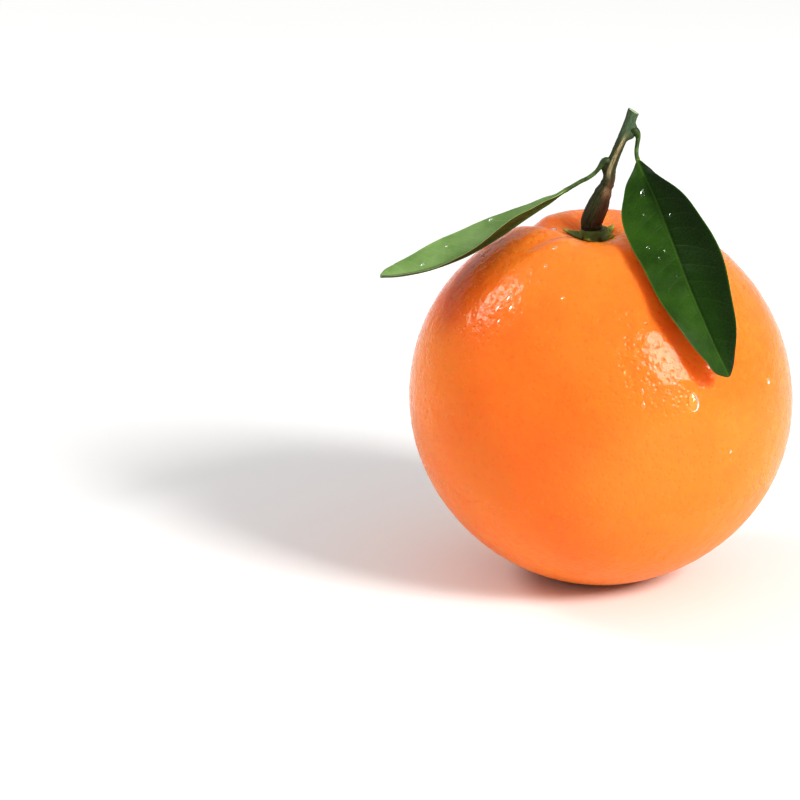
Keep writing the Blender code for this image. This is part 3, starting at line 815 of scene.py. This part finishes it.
def bark_look(sizes):
    """Young bark: dark olive away from the key light and corky brown on the lit side, partly
    painted shade and light; painted shade at the foot and on the upper flanks; tan streaks and
    scars.
    """
    tree = Tree("bark")
    bark = tree.attribute("bark_place", "Vector")
    place = tree.place()
    side, front, along = tree.parts(bark)
    streaks = tree.noise(tree.stretched(bark, (5.0, 5.0, 9.0)), 1.0, 4.0, 0.6)
    fine = tree.noise(tree.stretched(bark, (16.0, 16.0, 30.0)), 1.0, 4.0, 0.65)
    grain = tree.noise(place, 2600.0, 3.0, 0.6)
    # painted shade and light: the side away from the key light stays dark olive; the lit side
    # turns corky brown, partly the bark's own colour
    brown_lit_side = (side + (streaks - 0.5) * 2.2).rising(-0.30, 0.45)
    base = tree.mix(streaks.rising(0.30, 0.62), tinted(sizes.olive, 0.35), tuple(sizes.olive))
    base = tree.mix(brown_lit_side * along.falling(0.34, 0.52), base, tuple(sizes.brown))
    base = tree.mix(streaks.rising(0.52, 0.70) * along.falling(0.30, 0.44) * 0.45, base,
                    tinted(sizes.tan, 0.30))
    # painted shade: near black at the foot, where the twig stands in the calyx
    base = tree.mix(along.falling(0.02, 0.16) * 0.6, base, (0.014, 0.012, 0.003))
    node = along.near(0.325, 0.075) * (side + (streaks - 0.5) * 1.5).rising(-0.45, 0.10)
    base = tree.mix(node * fine.rising(0.34, 0.56) * 0.9, base, (0.25, 0.14, 0.07))
    streak_line = side - (along - 0.62) * 1.4 + (streaks - 0.5) * 0.5
    streak = along.rising(0.40, 0.50) * along.falling(0.76, 0.88)
    streak = streak * abs(streak_line).falling(0.14, 0.50) * front.rising(-0.1, 0.4)
    streak = streak * (fine * 0.6 + streaks * 0.4).rising(0.38, 0.60)
    base = tree.mix(streak, base, tuple(sizes.tan))
    green_top = along.rising(0.66, 0.86)
    top_green = tree.mix(fine.rising(0.35, 0.65), (0.034, 0.070, 0.028), (0.085, 0.135, 0.070))
    base = tree.mix(green_top * (1.0 - streak * 0.9), base, top_green)
    # painted shade: the upper twig darker along its left and right flanks
    base = tree.mix(abs(side).rising(0.72, 0.96) * along.rising(0.45, 0.60) * 0.6, base,
                    (0.020, 0.045, 0.010))
    base = tree.mix(fine.rising(0.60, 0.76) * 0.35, base, tinted(sizes.tan, 0.45))
    height = streaks * 0.5 + fine * 0.4 + grain * 0.2
    return tree.finish(Base_Color=base, Roughness=0.50 + fine * 0.28,
                       Normal=tree.bump(height, 0.22 * MM, 1.0), Specular_IOR_Level=0.30)


def cut_wood_look():
    """The fresh cut end: pale green wood with a darker ring under the bark and a pith dot."""
    tree = Tree("cut_wood")
    side, front, _ = tree.parts(tree.attribute("bark_place", "Vector"))
    place = tree.place()
    out = (side * side + front * front) ** 0.5
    fibre = tree.noise(place, 3500.0, 3.0, 0.6)
    base = tree.mix(fibre.rising(0.35, 0.65), (0.30, 0.38, 0.20), (0.46, 0.52, 0.32))
    base = tree.mix(out.rising(0.72, 0.96), base, (0.10, 0.13, 0.05))
    base = tree.mix(out.falling(0.10, 0.24), base, (0.30, 0.22, 0.12))
    return tree.finish(Base_Color=base, Roughness=0.62 + fibre * 0.2,
                       Normal=tree.bump(fibre, 0.08 * MM, 0.7))


class BuildStem(bpy.types.Operator):
    """Build the twig with its node, ridges, leaf cushions and slanted cut end"""

    bl_idname = "orange.build_stem"
    bl_label = "Twig"

    def execute(self, context):
        scene = context.scene
        stem = Stem(Fruit(scene.orange_fruit), scene.orange_calyx, scene.orange_stem)
        points, faces, place = stem_shape(stem)
        looks = [bark_look(scene.orange_stem), cut_wood_look()]
        piece = add_piece("twig", points, faces, looks, "stem", {"bark_place": place})
        mesh = piece.data
        first = np.empty(len(mesh.polygons), np.int32)
        mesh.polygons.foreach_get("loop_start", first)
        corner = np.empty(len(mesh.loops), np.int32)
        mesh.loops.foreach_get("vertex_index", corner)
        on_cut = place[corner[first], 2] > (1.0 + CUT_MARK) / 2
        mesh.polygons.foreach_set("material_index", on_cut.astype(np.int32))
        mesh.set_sharp_from_angle(angle=math.radians(50.0))
        return {"FINISHED"}


# ---- the leaves -----------------------------------------------------------------------------

LEAF_COLUMNS = 112
STALK_ROWS = 46
BLADE_ROWS = 190
STALK_SWELLING = 1.5 * MM       # length over which the stalk's swollen foot thins out
BLADE_OPENING = 0.10            # share of the blade over which the stalk flattens out
STALK_INTO_STEM = 0.9 * MM      # how far the stalk's foot runs into the twig
VEIN_LEAN = 0.50                # how far a side vein runs towards the tip as it goes outwards
VEIN_BEND = 26.0                # how much more it does so further out, per metre
QUILT_HEIGHT = 0.085 * MM
MIDRIB_GROOVE = 0.16 * MM
VEIN_GROOVE = 0.012 * MM
VEIN_RIB = 0.05 * MM


def leaf_turns():
    """The turns around a leaf's section, closer together at the midrib."""
    turn = np.arange(LEAF_COLUMNS) * (2 * math.pi / LEAF_COLUMNS)
    return turn + 0.3 * np.sin(2 * turn)


def leaf_rings(leaf, fruit, stem, sizes):
    """A stalk that opens into a thin folded blade, one closed body carried along one line.

    A section is an oval: the cosine of the turn goes across, and the sine through the
    thickness, and the half on each side of the midrib has its own width. It is folded up along
    its middle, and all of it moves along the facing direction by the waves of the margin and
    the quilting between the side veins. The upper side has a
    groove along the midrib and along each vein, and the lower side has a rib under them.
    A side vein starts at the midrib and bends towards the tip with the square of the distance.
    """
    leaving = np.asarray(leaf["leaving"], float)
    leaving = leaving / np.linalg.norm(leaving)
    out = float(stem.radius(leaf["share"])[0]) + stem.sizes.gap
    foot = stem.line(leaf["share"])[0] + leaving * out
    stalk = np.linspace(0.0, 1.0, STALK_ROWS)
    blade = np.linspace(0.0, 1.0, BLADE_ROWS)
    stalk_line = curve_through(leaf["stalk_knots"], leaf["stalk_line"], stalk) * sizes.stalk_length
    blade_line = curve_through(leaf["blade_knots"], leaf["blade_line"], blade)
    blade_line = stalk_line[-1] + blade_line * sizes.blade_length
    line = np.concatenate((stalk_line, blade_line[1:])) + foot
    line = fruit.clear_of_peel(line, sizes.clearance)
    line[0] = line[0] - leaving * STALK_INTO_STEM
    on_blade = np.concatenate((np.zeros(STALK_ROWS - 1), blade))
    on_stalk = np.concatenate((stalk[:-1], np.ones(BLADE_ROWS)))
    across = curve_through(leaf["across_knots"], leaf["across"], on_blade)
    thin = sizes.stalk / 2
    from_foot = on_stalk * sizes.stalk_length
    swelling = (sizes.stalk_foot / 2 - thin) * bell(from_foot / STALK_SWELLING)
    joint = 0.14 * thin * bell((on_stalk - 0.93) / 0.05) * (on_blade < 0.001)
    stalk_radius = thin + swelling + joint
    opening = smooth_step(on_blade / BLADE_OPENING)
    half_widths = []
    for key in ("outline", "far_outline"):
        outline = curve_through(BLADE_SHARES, leaf.get(key, leaf["outline"]), on_blade)
        half_blade = np.maximum(sizes.blade_width / 2 * outline, thin * 0.6)
        half_widths.append(np.where(on_blade > 0.0, half_blade, stalk_radius)[:, None])
    half_thick = stalk_radius + (sizes.thickness / 2 - stalk_radius) * opening
    fold = np.radians(curve_through((0.0, 0.5, 1.0), leaf["fold"], on_blade)) * opening

    along = np.gradient(line, axis=0)
    along[0] = leaving
    along = along / np.linalg.norm(along, axis=1, keepdims=True)
    side = across - along * np.sum(across * along, axis=1, keepdims=True)
    side = side / np.linalg.norm(side, axis=1, keepdims=True)
    facing = np.cross(side, along)
    turn = leaf_turns()
    across_share = np.broadcast_to(np.cos(turn), (len(line), LEAF_COLUMNS))
    aside = np.where(across_share > 0.0, *half_widths) * across_share
    off = np.abs(aside)
    fold = fold[:, None]
    middle = line[:, None, :] + (aside * np.cos(fold))[..., None] * side[:, None, :]
    middle = middle + (off * np.sin(fold))[..., None] * facing[:, None, :]
    run = on_blade[:, None] * sizes.blade_length
    half = np.where(aside > 0.0, 0.0, 0.5)
    wander = drift(np.stack(np.broadcast_arrays(run / MM, half * 40.0, 0.0), axis=-1), 7.0)
    vein = run - VEIN_LEAN * off - VEIN_BEND * off ** 2
    vein = vein / sizes.vein_step + half + 0.5 * wander
    beat = np.abs(vein - np.round(vein))
    open_blade = opening[:, None] * (1.0 - smooth_step((on_blade[:, None] - 0.86) / 0.14))
    inner = smooth_step(off / (1.6 * MM)) * (1.0 - smooth_step(np.abs(across_share) / 0.98) * 0.8)
    quilt = QUILT_HEIGHT * (smooth_step(beat / 0.5) - 0.5) * inner * open_blade
    tall, count, phase = leaf["waves"]
    wave = np.sin(2 * math.pi * count * on_blade[:, None] + phase + np.where(aside > 0, 0.0, 2.1))
    wave = wave * tall * MM * np.abs(across_share) ** 2.4 * open_blade
    middle = middle + (quilt + wave)[..., None] * facing[:, None, :]
    middle = fruit.clear_of_peel(middle, 0.75 * sizes.clearance)

    upper = np.sin(turn) > 0.0
    body = half_thick[:, None] * np.sin(turn)
    groove = (MIDRIB_GROOVE * bell(off / (0.32 * MM)) * open_blade
              + VEIN_GROOVE * bell(beat * sizes.vein_step / (0.22 * MM)) * inner * open_blade)
    ridge = ((sizes.rib - sizes.thickness) * bell(off / (0.42 * MM)) * opening[:, None]
             * (1.0 - 0.7 * on_blade[:, None])
             + VEIN_RIB * bell(beat * sizes.vein_step / (0.28 * MM)) * inner * open_blade)
    body = body - np.where(upper, groove, ridge)
    rings = middle + body[..., None] * facing[:, None, :]
    last = line[-1] + 0.15 * MM * along[-1]
    under = np.broadcast_to(np.where(upper, 0.0, 1.0), off.shape)
    stalk_share = np.broadcast_to((on_stalk + on_blade)[:, None], off.shape)
    attributes = {
        "vein": per_point(vein, 0.0, 0.0),
        "off_midrib": per_point(off / MM, 0.0, 0.0),
        "out": per_point(np.abs(across_share), 0.0, 1.0),
        "half": per_point(np.where(across_share > 0.0, 0.0, 1.0), 0.0, 0.0),
        "under": per_point(under, 0.0, 0.0),
        "reach": per_point(stalk_share, 0.0, 2.0),
    }
    return rings, line[0], last, attributes


def leaf_look(name, sizes):
    """A leathery blade: drifts of green, paler midrib and side veins, a fine net between them.

    The stalk turns olive, and the joint between it and the blade is yellow-green.
    """
    tree = Tree(name)
    place = tree.place()
    vein = tree.attribute("vein")
    off = tree.attribute("off_midrib")
    out = tree.attribute("out")
    under = tree.attribute("under")
    reach = tree.attribute("reach")
    half = tree.attribute("half")
    slow = tree.noise(place, 95.0, 4.0, 0.6)
    fine = tree.noise(place, 620.0, 4.0, 0.6)
    net = tree.cells(place, 1300.0, "DISTANCE_TO_EDGE").falling(0.0, 0.10)
    beat = abs(vein - vein.math("ROUND", vein))
    wobble = (fine - 0.5) * 0.05
    side_vein = (beat + wobble).falling(0.015, 0.075) * out.falling(0.72, 0.97)
    midrib = (off + wobble * 4.0).falling(0.12, 0.42)
    # painted shade: the half away from the key light is darker
    base = tree.mix(slow.rising(0.34, 0.66) * (1.0 - half * sizes.darker_half),
                    tuple(sizes.upper), tuple(sizes.pale))
    base = tree.mix(fine.rising(0.45, 0.75) * 0.20, base, tuple(sizes.pale))
    # painted shade: that half darker still towards its margin
    base = tree.mix(half * out.rising(0.10, 0.80) * sizes.darker_half * 0.8, base,
                    tinted(sizes.upper, 0.35))
    base = tree.mix(side_vein * sizes.vein_show, base, tuple(sizes.vein))
    base = tree.mix(net * 0.10, base, tuple(sizes.vein))
    base = tree.mix(midrib * (0.30 + reach.falling(1.1, 1.8) * 0.40), base, tuple(sizes.vein))
    lower = tree.mix(slow.rising(0.35, 0.65), tinted(sizes.under, 0.80), tuple(sizes.under))
    lower = tree.mix((side_vein * 0.5) + midrib * 0.5, lower, tinted(sizes.under, 1.5))
    base = tree.mix(under, base, lower)
    base = tree.mix(out.rising(0.955, 0.995) * 0.6, base, tinted(sizes.vein, 1.3))
    olive = tree.mix(fine.rising(0.35, 0.65), (0.030, 0.060, 0.012), (0.085, 0.145, 0.035))
    olive = tree.mix(reach.falling(0.02, 0.28), olive, (0.028, 0.050, 0.012))
    base = tree.mix(reach.falling(0.90, 1.03), base, olive)
    base = tree.mix(reach.near(0.97, 0.05) * 0.4, base, (0.20, 0.28, 0.05))
    height = fine * 0.30 + slow * 0.3 - net * 0.22 - side_vein * 0.35
    roughness = sizes.roughness + fine * 0.12 + under * 0.14 - side_vein * 0.04
    return tree.finish(Base_Color=base, Roughness=roughness,
                       Normal=tree.bump(height, 0.10 * MM, 0.8), IOR=1.47,
                       Subsurface_Weight=0.10, Subsurface_Radius=(0.35, 0.8, 0.12),
                       Subsurface_Scale=0.8 * MM, Specular_IOR_Level=sizes.shine)


class BuildLeaves(bpy.types.Operator):
    """Build both leaves, each with its stalk, folded blade, midrib and side veins"""

    bl_idname = "orange.build_leaves"
    bl_label = "Leaves"

    def execute(self, context):
        scene = context.scene
        fruit = Fruit(scene.orange_fruit)
        stem = Stem(fruit, scene.orange_calyx, scene.orange_stem)
        plan = ((LEFT_LEAF, scene.orange_leaf_left, "left_leaf", "leaf_green_left"),
                (RIGHT_LEAF, scene.orange_leaf_right, "right_leaf", "leaf_green_right"))
        for leaf, sizes, name, slot in plan:
            rings, first, last, attributes = leaf_rings(leaf, fruit, stem, sizes)
            points, faces = closed_rings(rings, first, last)
            add_piece(name, points, faces, [leaf_look(slot, sizes)], leaf["node"],
                      attributes)
        return {"FINISHED"}


# ---- the water drops ------------------------------------------------------------------------

# Drops on the peel: degrees down from the stem end, bearing in degrees, width in millimetres,
# and how far the drop runs down the slope, as a share of its width.
PEEL_DROPS = (
    (76, 297, 2.7, 1.7), (42, 253, 0.9, 1.1), (31, 238, 0.8, 1.2), (23, 236, 1.0, 1.3),
    (13, 174, 1.1, 1.2), (59, 281, 0.9, 1.5), (65, 276, 0.8, 1.3), (71, 281, 0.9, 1.6),
    (75, 281, 1.1, 1.5), (77, 329, 1.2, 1.2), (44, 228, 1.2, 2.0), (47, 231, 0.9, 2.2),
    (48, 225, 1.0, 1.8), (52, 228, 0.8, 1.5), (93, 309, 0.8, 1.3),
    (38, 40, 1.4, 1.4), (57, 72, 1.0, 1.5), (68, 120, 1.8, 1.6), (49, 158, 0.9, 1.3),
    (83, 20, 1.2, 1.4), (72, 170, 1.0, 1.5),
)
# drops on a leaf: share of the blade, share of the half width, width in millimetres, and run
LEFT_LEAF_DROPS = ((0.36, 0.80, 1.0, 1.2), (0.78, 0.20, 0.9, 1.2), (0.62, 0.55, 0.7, 1.1))
RIGHT_LEAF_DROPS = ((0.145, 0.28, 1.2, 1.9), (0.44, 0.25, 0.8, 1.2), (0.47, 0.45, 0.7, 1.4),
                    (0.41, 0.62, 0.8, 1.2), (0.25, 0.40, 0.6, 1.2), (0.30, -0.25, 0.6, 1.3),
                    (0.56, 0.20, 0.6, 1.1))
DROP_HEIGHT = 0.30              # of a drop, as a share of its width
DROP_SINK = 0.05 * MM           # how far a drop's flat underside lies inside the skin
DROP_COLUMNS = 24
DROP_ROWS = 8


def drop_shape(spot, outward, width, run):
    """A drop: a dome on a flat base, stretched and fuller down the slope.

    The base is a circle of the bearing, made longer down the slope by the run, and narrowed
    towards its upper end. The height is a root of one less the square of the distance.
    """
    outward = outward / np.linalg.norm(outward)
    down = np.array((0.0, 0.0, -1.0)) + outward * outward[2]
    down = down / np.linalg.norm(down)
    aside = np.cross(outward, down)
    bearing = np.arange(DROP_COLUMNS) * (2 * math.pi / DROP_COLUMNS)
    reach = np.linspace(1.0, 0.0, DROP_ROWS + 1)[:-1]
    reach, bearing = np.meshgrid(reach, bearing, indexing="ij")
    along = reach * np.cos(bearing)
    over = reach * np.sin(bearing) * (1.0 + 0.28 * along * (run - 1.0))
    height = (1.0 - reach ** 2) ** 0.55 * DROP_HEIGHT * width * (1.0 + 0.25 * along)
    points = (spot - outward * DROP_SINK + (along * run * width / 2)[..., None] * down
              + (over * width / 2)[..., None] * aside + height[..., None] * outward)
    top = spot + outward * (DROP_HEIGHT * width - DROP_SINK)
    return closed_rings(points, spot - outward * DROP_SINK, top)


def leaf_spot(rings, blade_share, across_share):
    """A point on the upper side of a blade, and the direction out of it there."""
    row = int(round(STALK_ROWS - 1 + blade_share * (BLADE_ROWS - 1)))
    turn = leaf_turns()
    upper = np.sin(turn) > 0.0
    column = int(np.argmin(np.where(upper, np.abs(np.cos(turn) - across_share), 9.0)))
    forward = rings[row + 2, column] - rings[row - 2, column]
    sideways = rings[row, column - 2] - rings[row, column + 2]
    outward = np.cross(sideways, forward)
    return rings[row, column], outward / np.linalg.norm(outward)


def water_look():
    """Clear water with a very faint unevenness."""
    tree = Tree("water")
    fine = tree.noise(tree.place(), 900.0, 1.0, 0.5)
    return tree.finish(Base_Color=(1.0, 1.0, 1.0), Roughness=0.02 + fine * 0.03, IOR=1.34,
                       Transmission_Weight=1.0)


class BuildDrops(bpy.types.Operator):
    """Build the water drops that cling to the peel and the leaves"""

    bl_idname = "orange.build_drops"
    bl_label = "Water drops"

    def execute(self, context):
        scene = context.scene
        fruit = Fruit(scene.orange_fruit)
        stem = Stem(fruit, scene.orange_calyx, scene.orange_stem)
        drops = []
        for polar, bearing, width, run in PEEL_DROPS:
            polar, bearing = np.radians(polar), np.radians(bearing)
            spot = fruit.point(polar, bearing, fruit.peel_radius(polar, bearing))
            drops.append(drop_shape(spot, spot - fruit.middle, width * MM, run))
        plan = ((LEFT_LEAF, scene.orange_leaf_left, LEFT_LEAF_DROPS),
                (RIGHT_LEAF, scene.orange_leaf_right, RIGHT_LEAF_DROPS))
        for leaf, sizes, places in plan:
            rings = leaf_rings(leaf, fruit, stem, sizes)[0]
            for blade_share, across_share, width, run in places:
                spot, outward = leaf_spot(rings, blade_share, across_share)
                drops.append(drop_shape(spot, outward, width * MM, run))
        points, faces = joined(drops)
        piece = add_piece("water_drops", points, faces, [water_look()], None)
        piece.visible_shadow = False
        return {"FINISHED"}


# ---- the stage ------------------------------------------------------------------------------

KEY_FROM = (0.63, -0.545, 0.555)        # direction of the main light and its sheen panel
BACK_FROM = (-0.72, 0.305, 0.616)
KEY_DISTANCE = 1.6
PANEL_DISTANCE = 1.62
FLOOR_COLUMNS = 96


def add_light(name, towards, distance, width, height, power, tint, target):
    """A soft rectangular light that faces the target from a direction."""
    data = bpy.data.lights.new(name, "AREA")
    data.shape = "RECTANGLE"
    data.size = width
    data.size_y = height
    data.energy = power
    data.color = tint
    light = bpy.data.objects.new(name, data)
    bpy.context.scene.collection.objects.link(light)
    towards = Vector(towards).normalized()
    light.location = target + towards * distance
    light.rotation_euler = towards.to_track_quat("Z", "Y").to_euler()
    light.visible_transmission = False
    return light


def floor_look(sizes):
    """Pale matt paper with a very faint mottle."""
    tree = Tree("pale_floor")
    mottle = tree.noise(tree.place(), 9.0, 3.0, 0.5)
    base = tree.mix(mottle, tinted(sizes.floor, 0.985), tuple(sizes.floor))
    return tree.finish(Base_Color=base, Roughness=0.85, Specular_IOR_Level=0.2)


def add_floor(sizes, level):
    """A wide disc: rings of points around its middle."""
    columns = FLOOR_COLUMNS
    turn = np.arange(columns) * (2 * math.pi / columns)
    ring = np.stack((np.cos(turn), np.sin(turn), np.zeros(columns)), axis=-1)
    radii = np.array((0.05, 0.2, 0.6, 1.5, 3.0, sizes.floor_radius))
    rings = ring[None] * radii[:, None, None]
    points = np.concatenate((rings.reshape(-1, 3), np.zeros((1, 3))))
    points[:, 2] = level
    row, column = np.meshgrid(np.arange(len(radii) - 1), np.arange(columns), indexing="ij")
    here = row * columns + column
    beside = row * columns + (column + 1) % columns
    quads = np.stack((here, here + columns, beside + columns, beside), axis=-1)
    edge = np.arange(columns)
    fan = np.stack((np.full(columns, len(points) - 1), edge, (edge + 1) % columns), axis=-1)
    mesh = bpy.data.meshes.new("floor")
    mesh.from_pydata(points.tolist(), [], quads.reshape(-1, 4).tolist() + fan.tolist())
    mesh.materials.append(floor_look(sizes))
    floor = bpy.data.objects.new("floor", mesh)
    bpy.context.scene.collection.objects.link(floor)


def add_room(sizes):
    """Even light from all around."""
    world = bpy.data.worlds.new("room")
    world.use_nodes = True
    back = world.node_tree.nodes["Background"]
    back.inputs["Color"].default_value = (0.96, 0.98, 1.0, 1.0)
    back.inputs["Strength"].default_value = sizes.sky
    bpy.context.scene.world = world


def add_camera(sizes, middle):
    """Looks down on the fruit from the front, and aims a little to its left."""
    data = bpy.data.cameras.new("camera")
    data.lens = sizes.lens
    data.sensor_width = 36.0
    data.clip_start = 0.05
    data.clip_end = 30.0
    camera = bpy.data.objects.new("camera", data)
    scene = bpy.context.scene
    scene.collection.objects.link(camera)
    up = Vector((0.0, math.sin(sizes.elevation), math.cos(sizes.elevation)))
    ahead = Vector((0.0, math.cos(sizes.elevation), -math.sin(sizes.elevation)))
    target = Vector(middle) - Vector((sizes.aside, 0.0, 0.0)) - up * sizes.below
    camera.location = target - ahead * sizes.distance
    camera.rotation_euler = (-ahead).to_track_quat("Z", "Y").to_euler()
    scene.camera = camera


class BuildStage(bpy.types.Operator):
    """Build the pale floor, the soft lights and the camera"""

    bl_idname = "orange.build_stage"
    bl_label = "Stage"

    def execute(self, context):
        scene = context.scene
        sizes = scene.orange_stage
        fruit = Fruit(scene.orange_fruit)
        middle = Vector(fruit.middle)
        add_floor(sizes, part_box("fruit")[0].z)
        add_room(sizes)
        key = add_light("key_light", KEY_FROM, KEY_DISTANCE, 0.48, 0.48, sizes.key,
                        (1.0, 0.98, 0.95), middle)
        key.visible_glossy = False
        panel = add_light("sheen_panel", KEY_FROM, PANEL_DISTANCE, 0.86, 0.72, sizes.sheen,
                          (1.0, 0.98, 0.96), middle)
        panel.visible_diffuse = False
        add_light("back_light", BACK_FROM, KEY_DISTANCE, 0.42, 0.50, sizes.back,
                  (1.0, 0.99, 0.97), middle)
        add_camera(sizes, middle)
        scene.view_settings.view_transform = "Standard"
        scene.view_settings.look = "Medium High Contrast"
        return {"FINISHED"}


# ---- panel and registering ------------------------------------------------------------------

STEPS = (BuildFruit, BuildCalyx, BuildStem, BuildLeaves, BuildDrops, BuildStage)
SETTINGS = (("orange_fruit", FruitSettings), ("orange_calyx", CalyxSettings),
            ("orange_stem", StemSettings), ("orange_leaf_left", LeafSettings),
            ("orange_leaf_right", LeafSettings), ("orange_stage", StageSettings))


class OrangePanel(bpy.types.Panel):
    """Lists the pieces that can be built"""

    bl_idname = "VIEW3D_PT_orange"
    bl_label = "Orange"
    bl_space_type = "VIEW_3D"
    bl_region_type = "UI"
    bl_category = "Orange"

    def draw(self, context):
        for step in STEPS:
            self.layout.operator(step.bl_idname)
        for name, kind in SETTINGS:
            box = self.layout.box()
            box.label(text=name.replace("_", " "))
            for key in kind.__annotations__:
                box.prop(getattr(context.scene, name), key)


def classes():
    return (*dict.fromkeys(kind for _, kind in SETTINGS), *STEPS, OrangePanel)


def register():
    for kind in classes():
        bpy.utils.register_class(kind)
    for name, kind in SETTINGS:
        setattr(bpy.types.Scene, name, PointerProperty(type=kind))


def unregister():
    for name, _ in SETTINGS:
        delattr(bpy.types.Scene, name)
    for kind in reversed(classes()):
        bpy.utils.unregister_class(kind)


def set_left_leaf(sizes):
    """The left leaf is shorter and narrower than the one that hangs in front, with a paler upper
    side that is a painted sheen and a darker under side that is a painted shade.
    """
    sizes.blade_length = 0.0440
    sizes.blade_width = 0.0182
    sizes.stalk_length = 0.0118
    sizes.vein_step = 0.0039
    # painted sheen: pale grey-green upper colours for the white the upper side reflects at a
    # grazing angle
    sizes.upper = (0.115, 0.215, 0.046)
    sizes.pale = (0.200, 0.320, 0.100)
    # painted shade: a dark under side, as the near half's under side lies in shade
    sizes.under = (0.045, 0.085, 0.016)
    sizes.vein = (0.26, 0.38, 0.13)
    sizes.vein_show = 0.22
    sizes.darker_half = 0.75
    sizes.roughness = 0.42
    sizes.shine = 0.30


def main():
    register()
    set_left_leaf(bpy.context.scene.orange_leaf_left)
    bpy.ops.orange.build_fruit()
    bpy.ops.orange.build_calyx()
    bpy.ops.orange.build_stem()
    bpy.ops.orange.build_leaves()
    bpy.ops.orange.build_drops()
    bpy.ops.orange.build_stage()


if __name__ == "__main__":
    main()
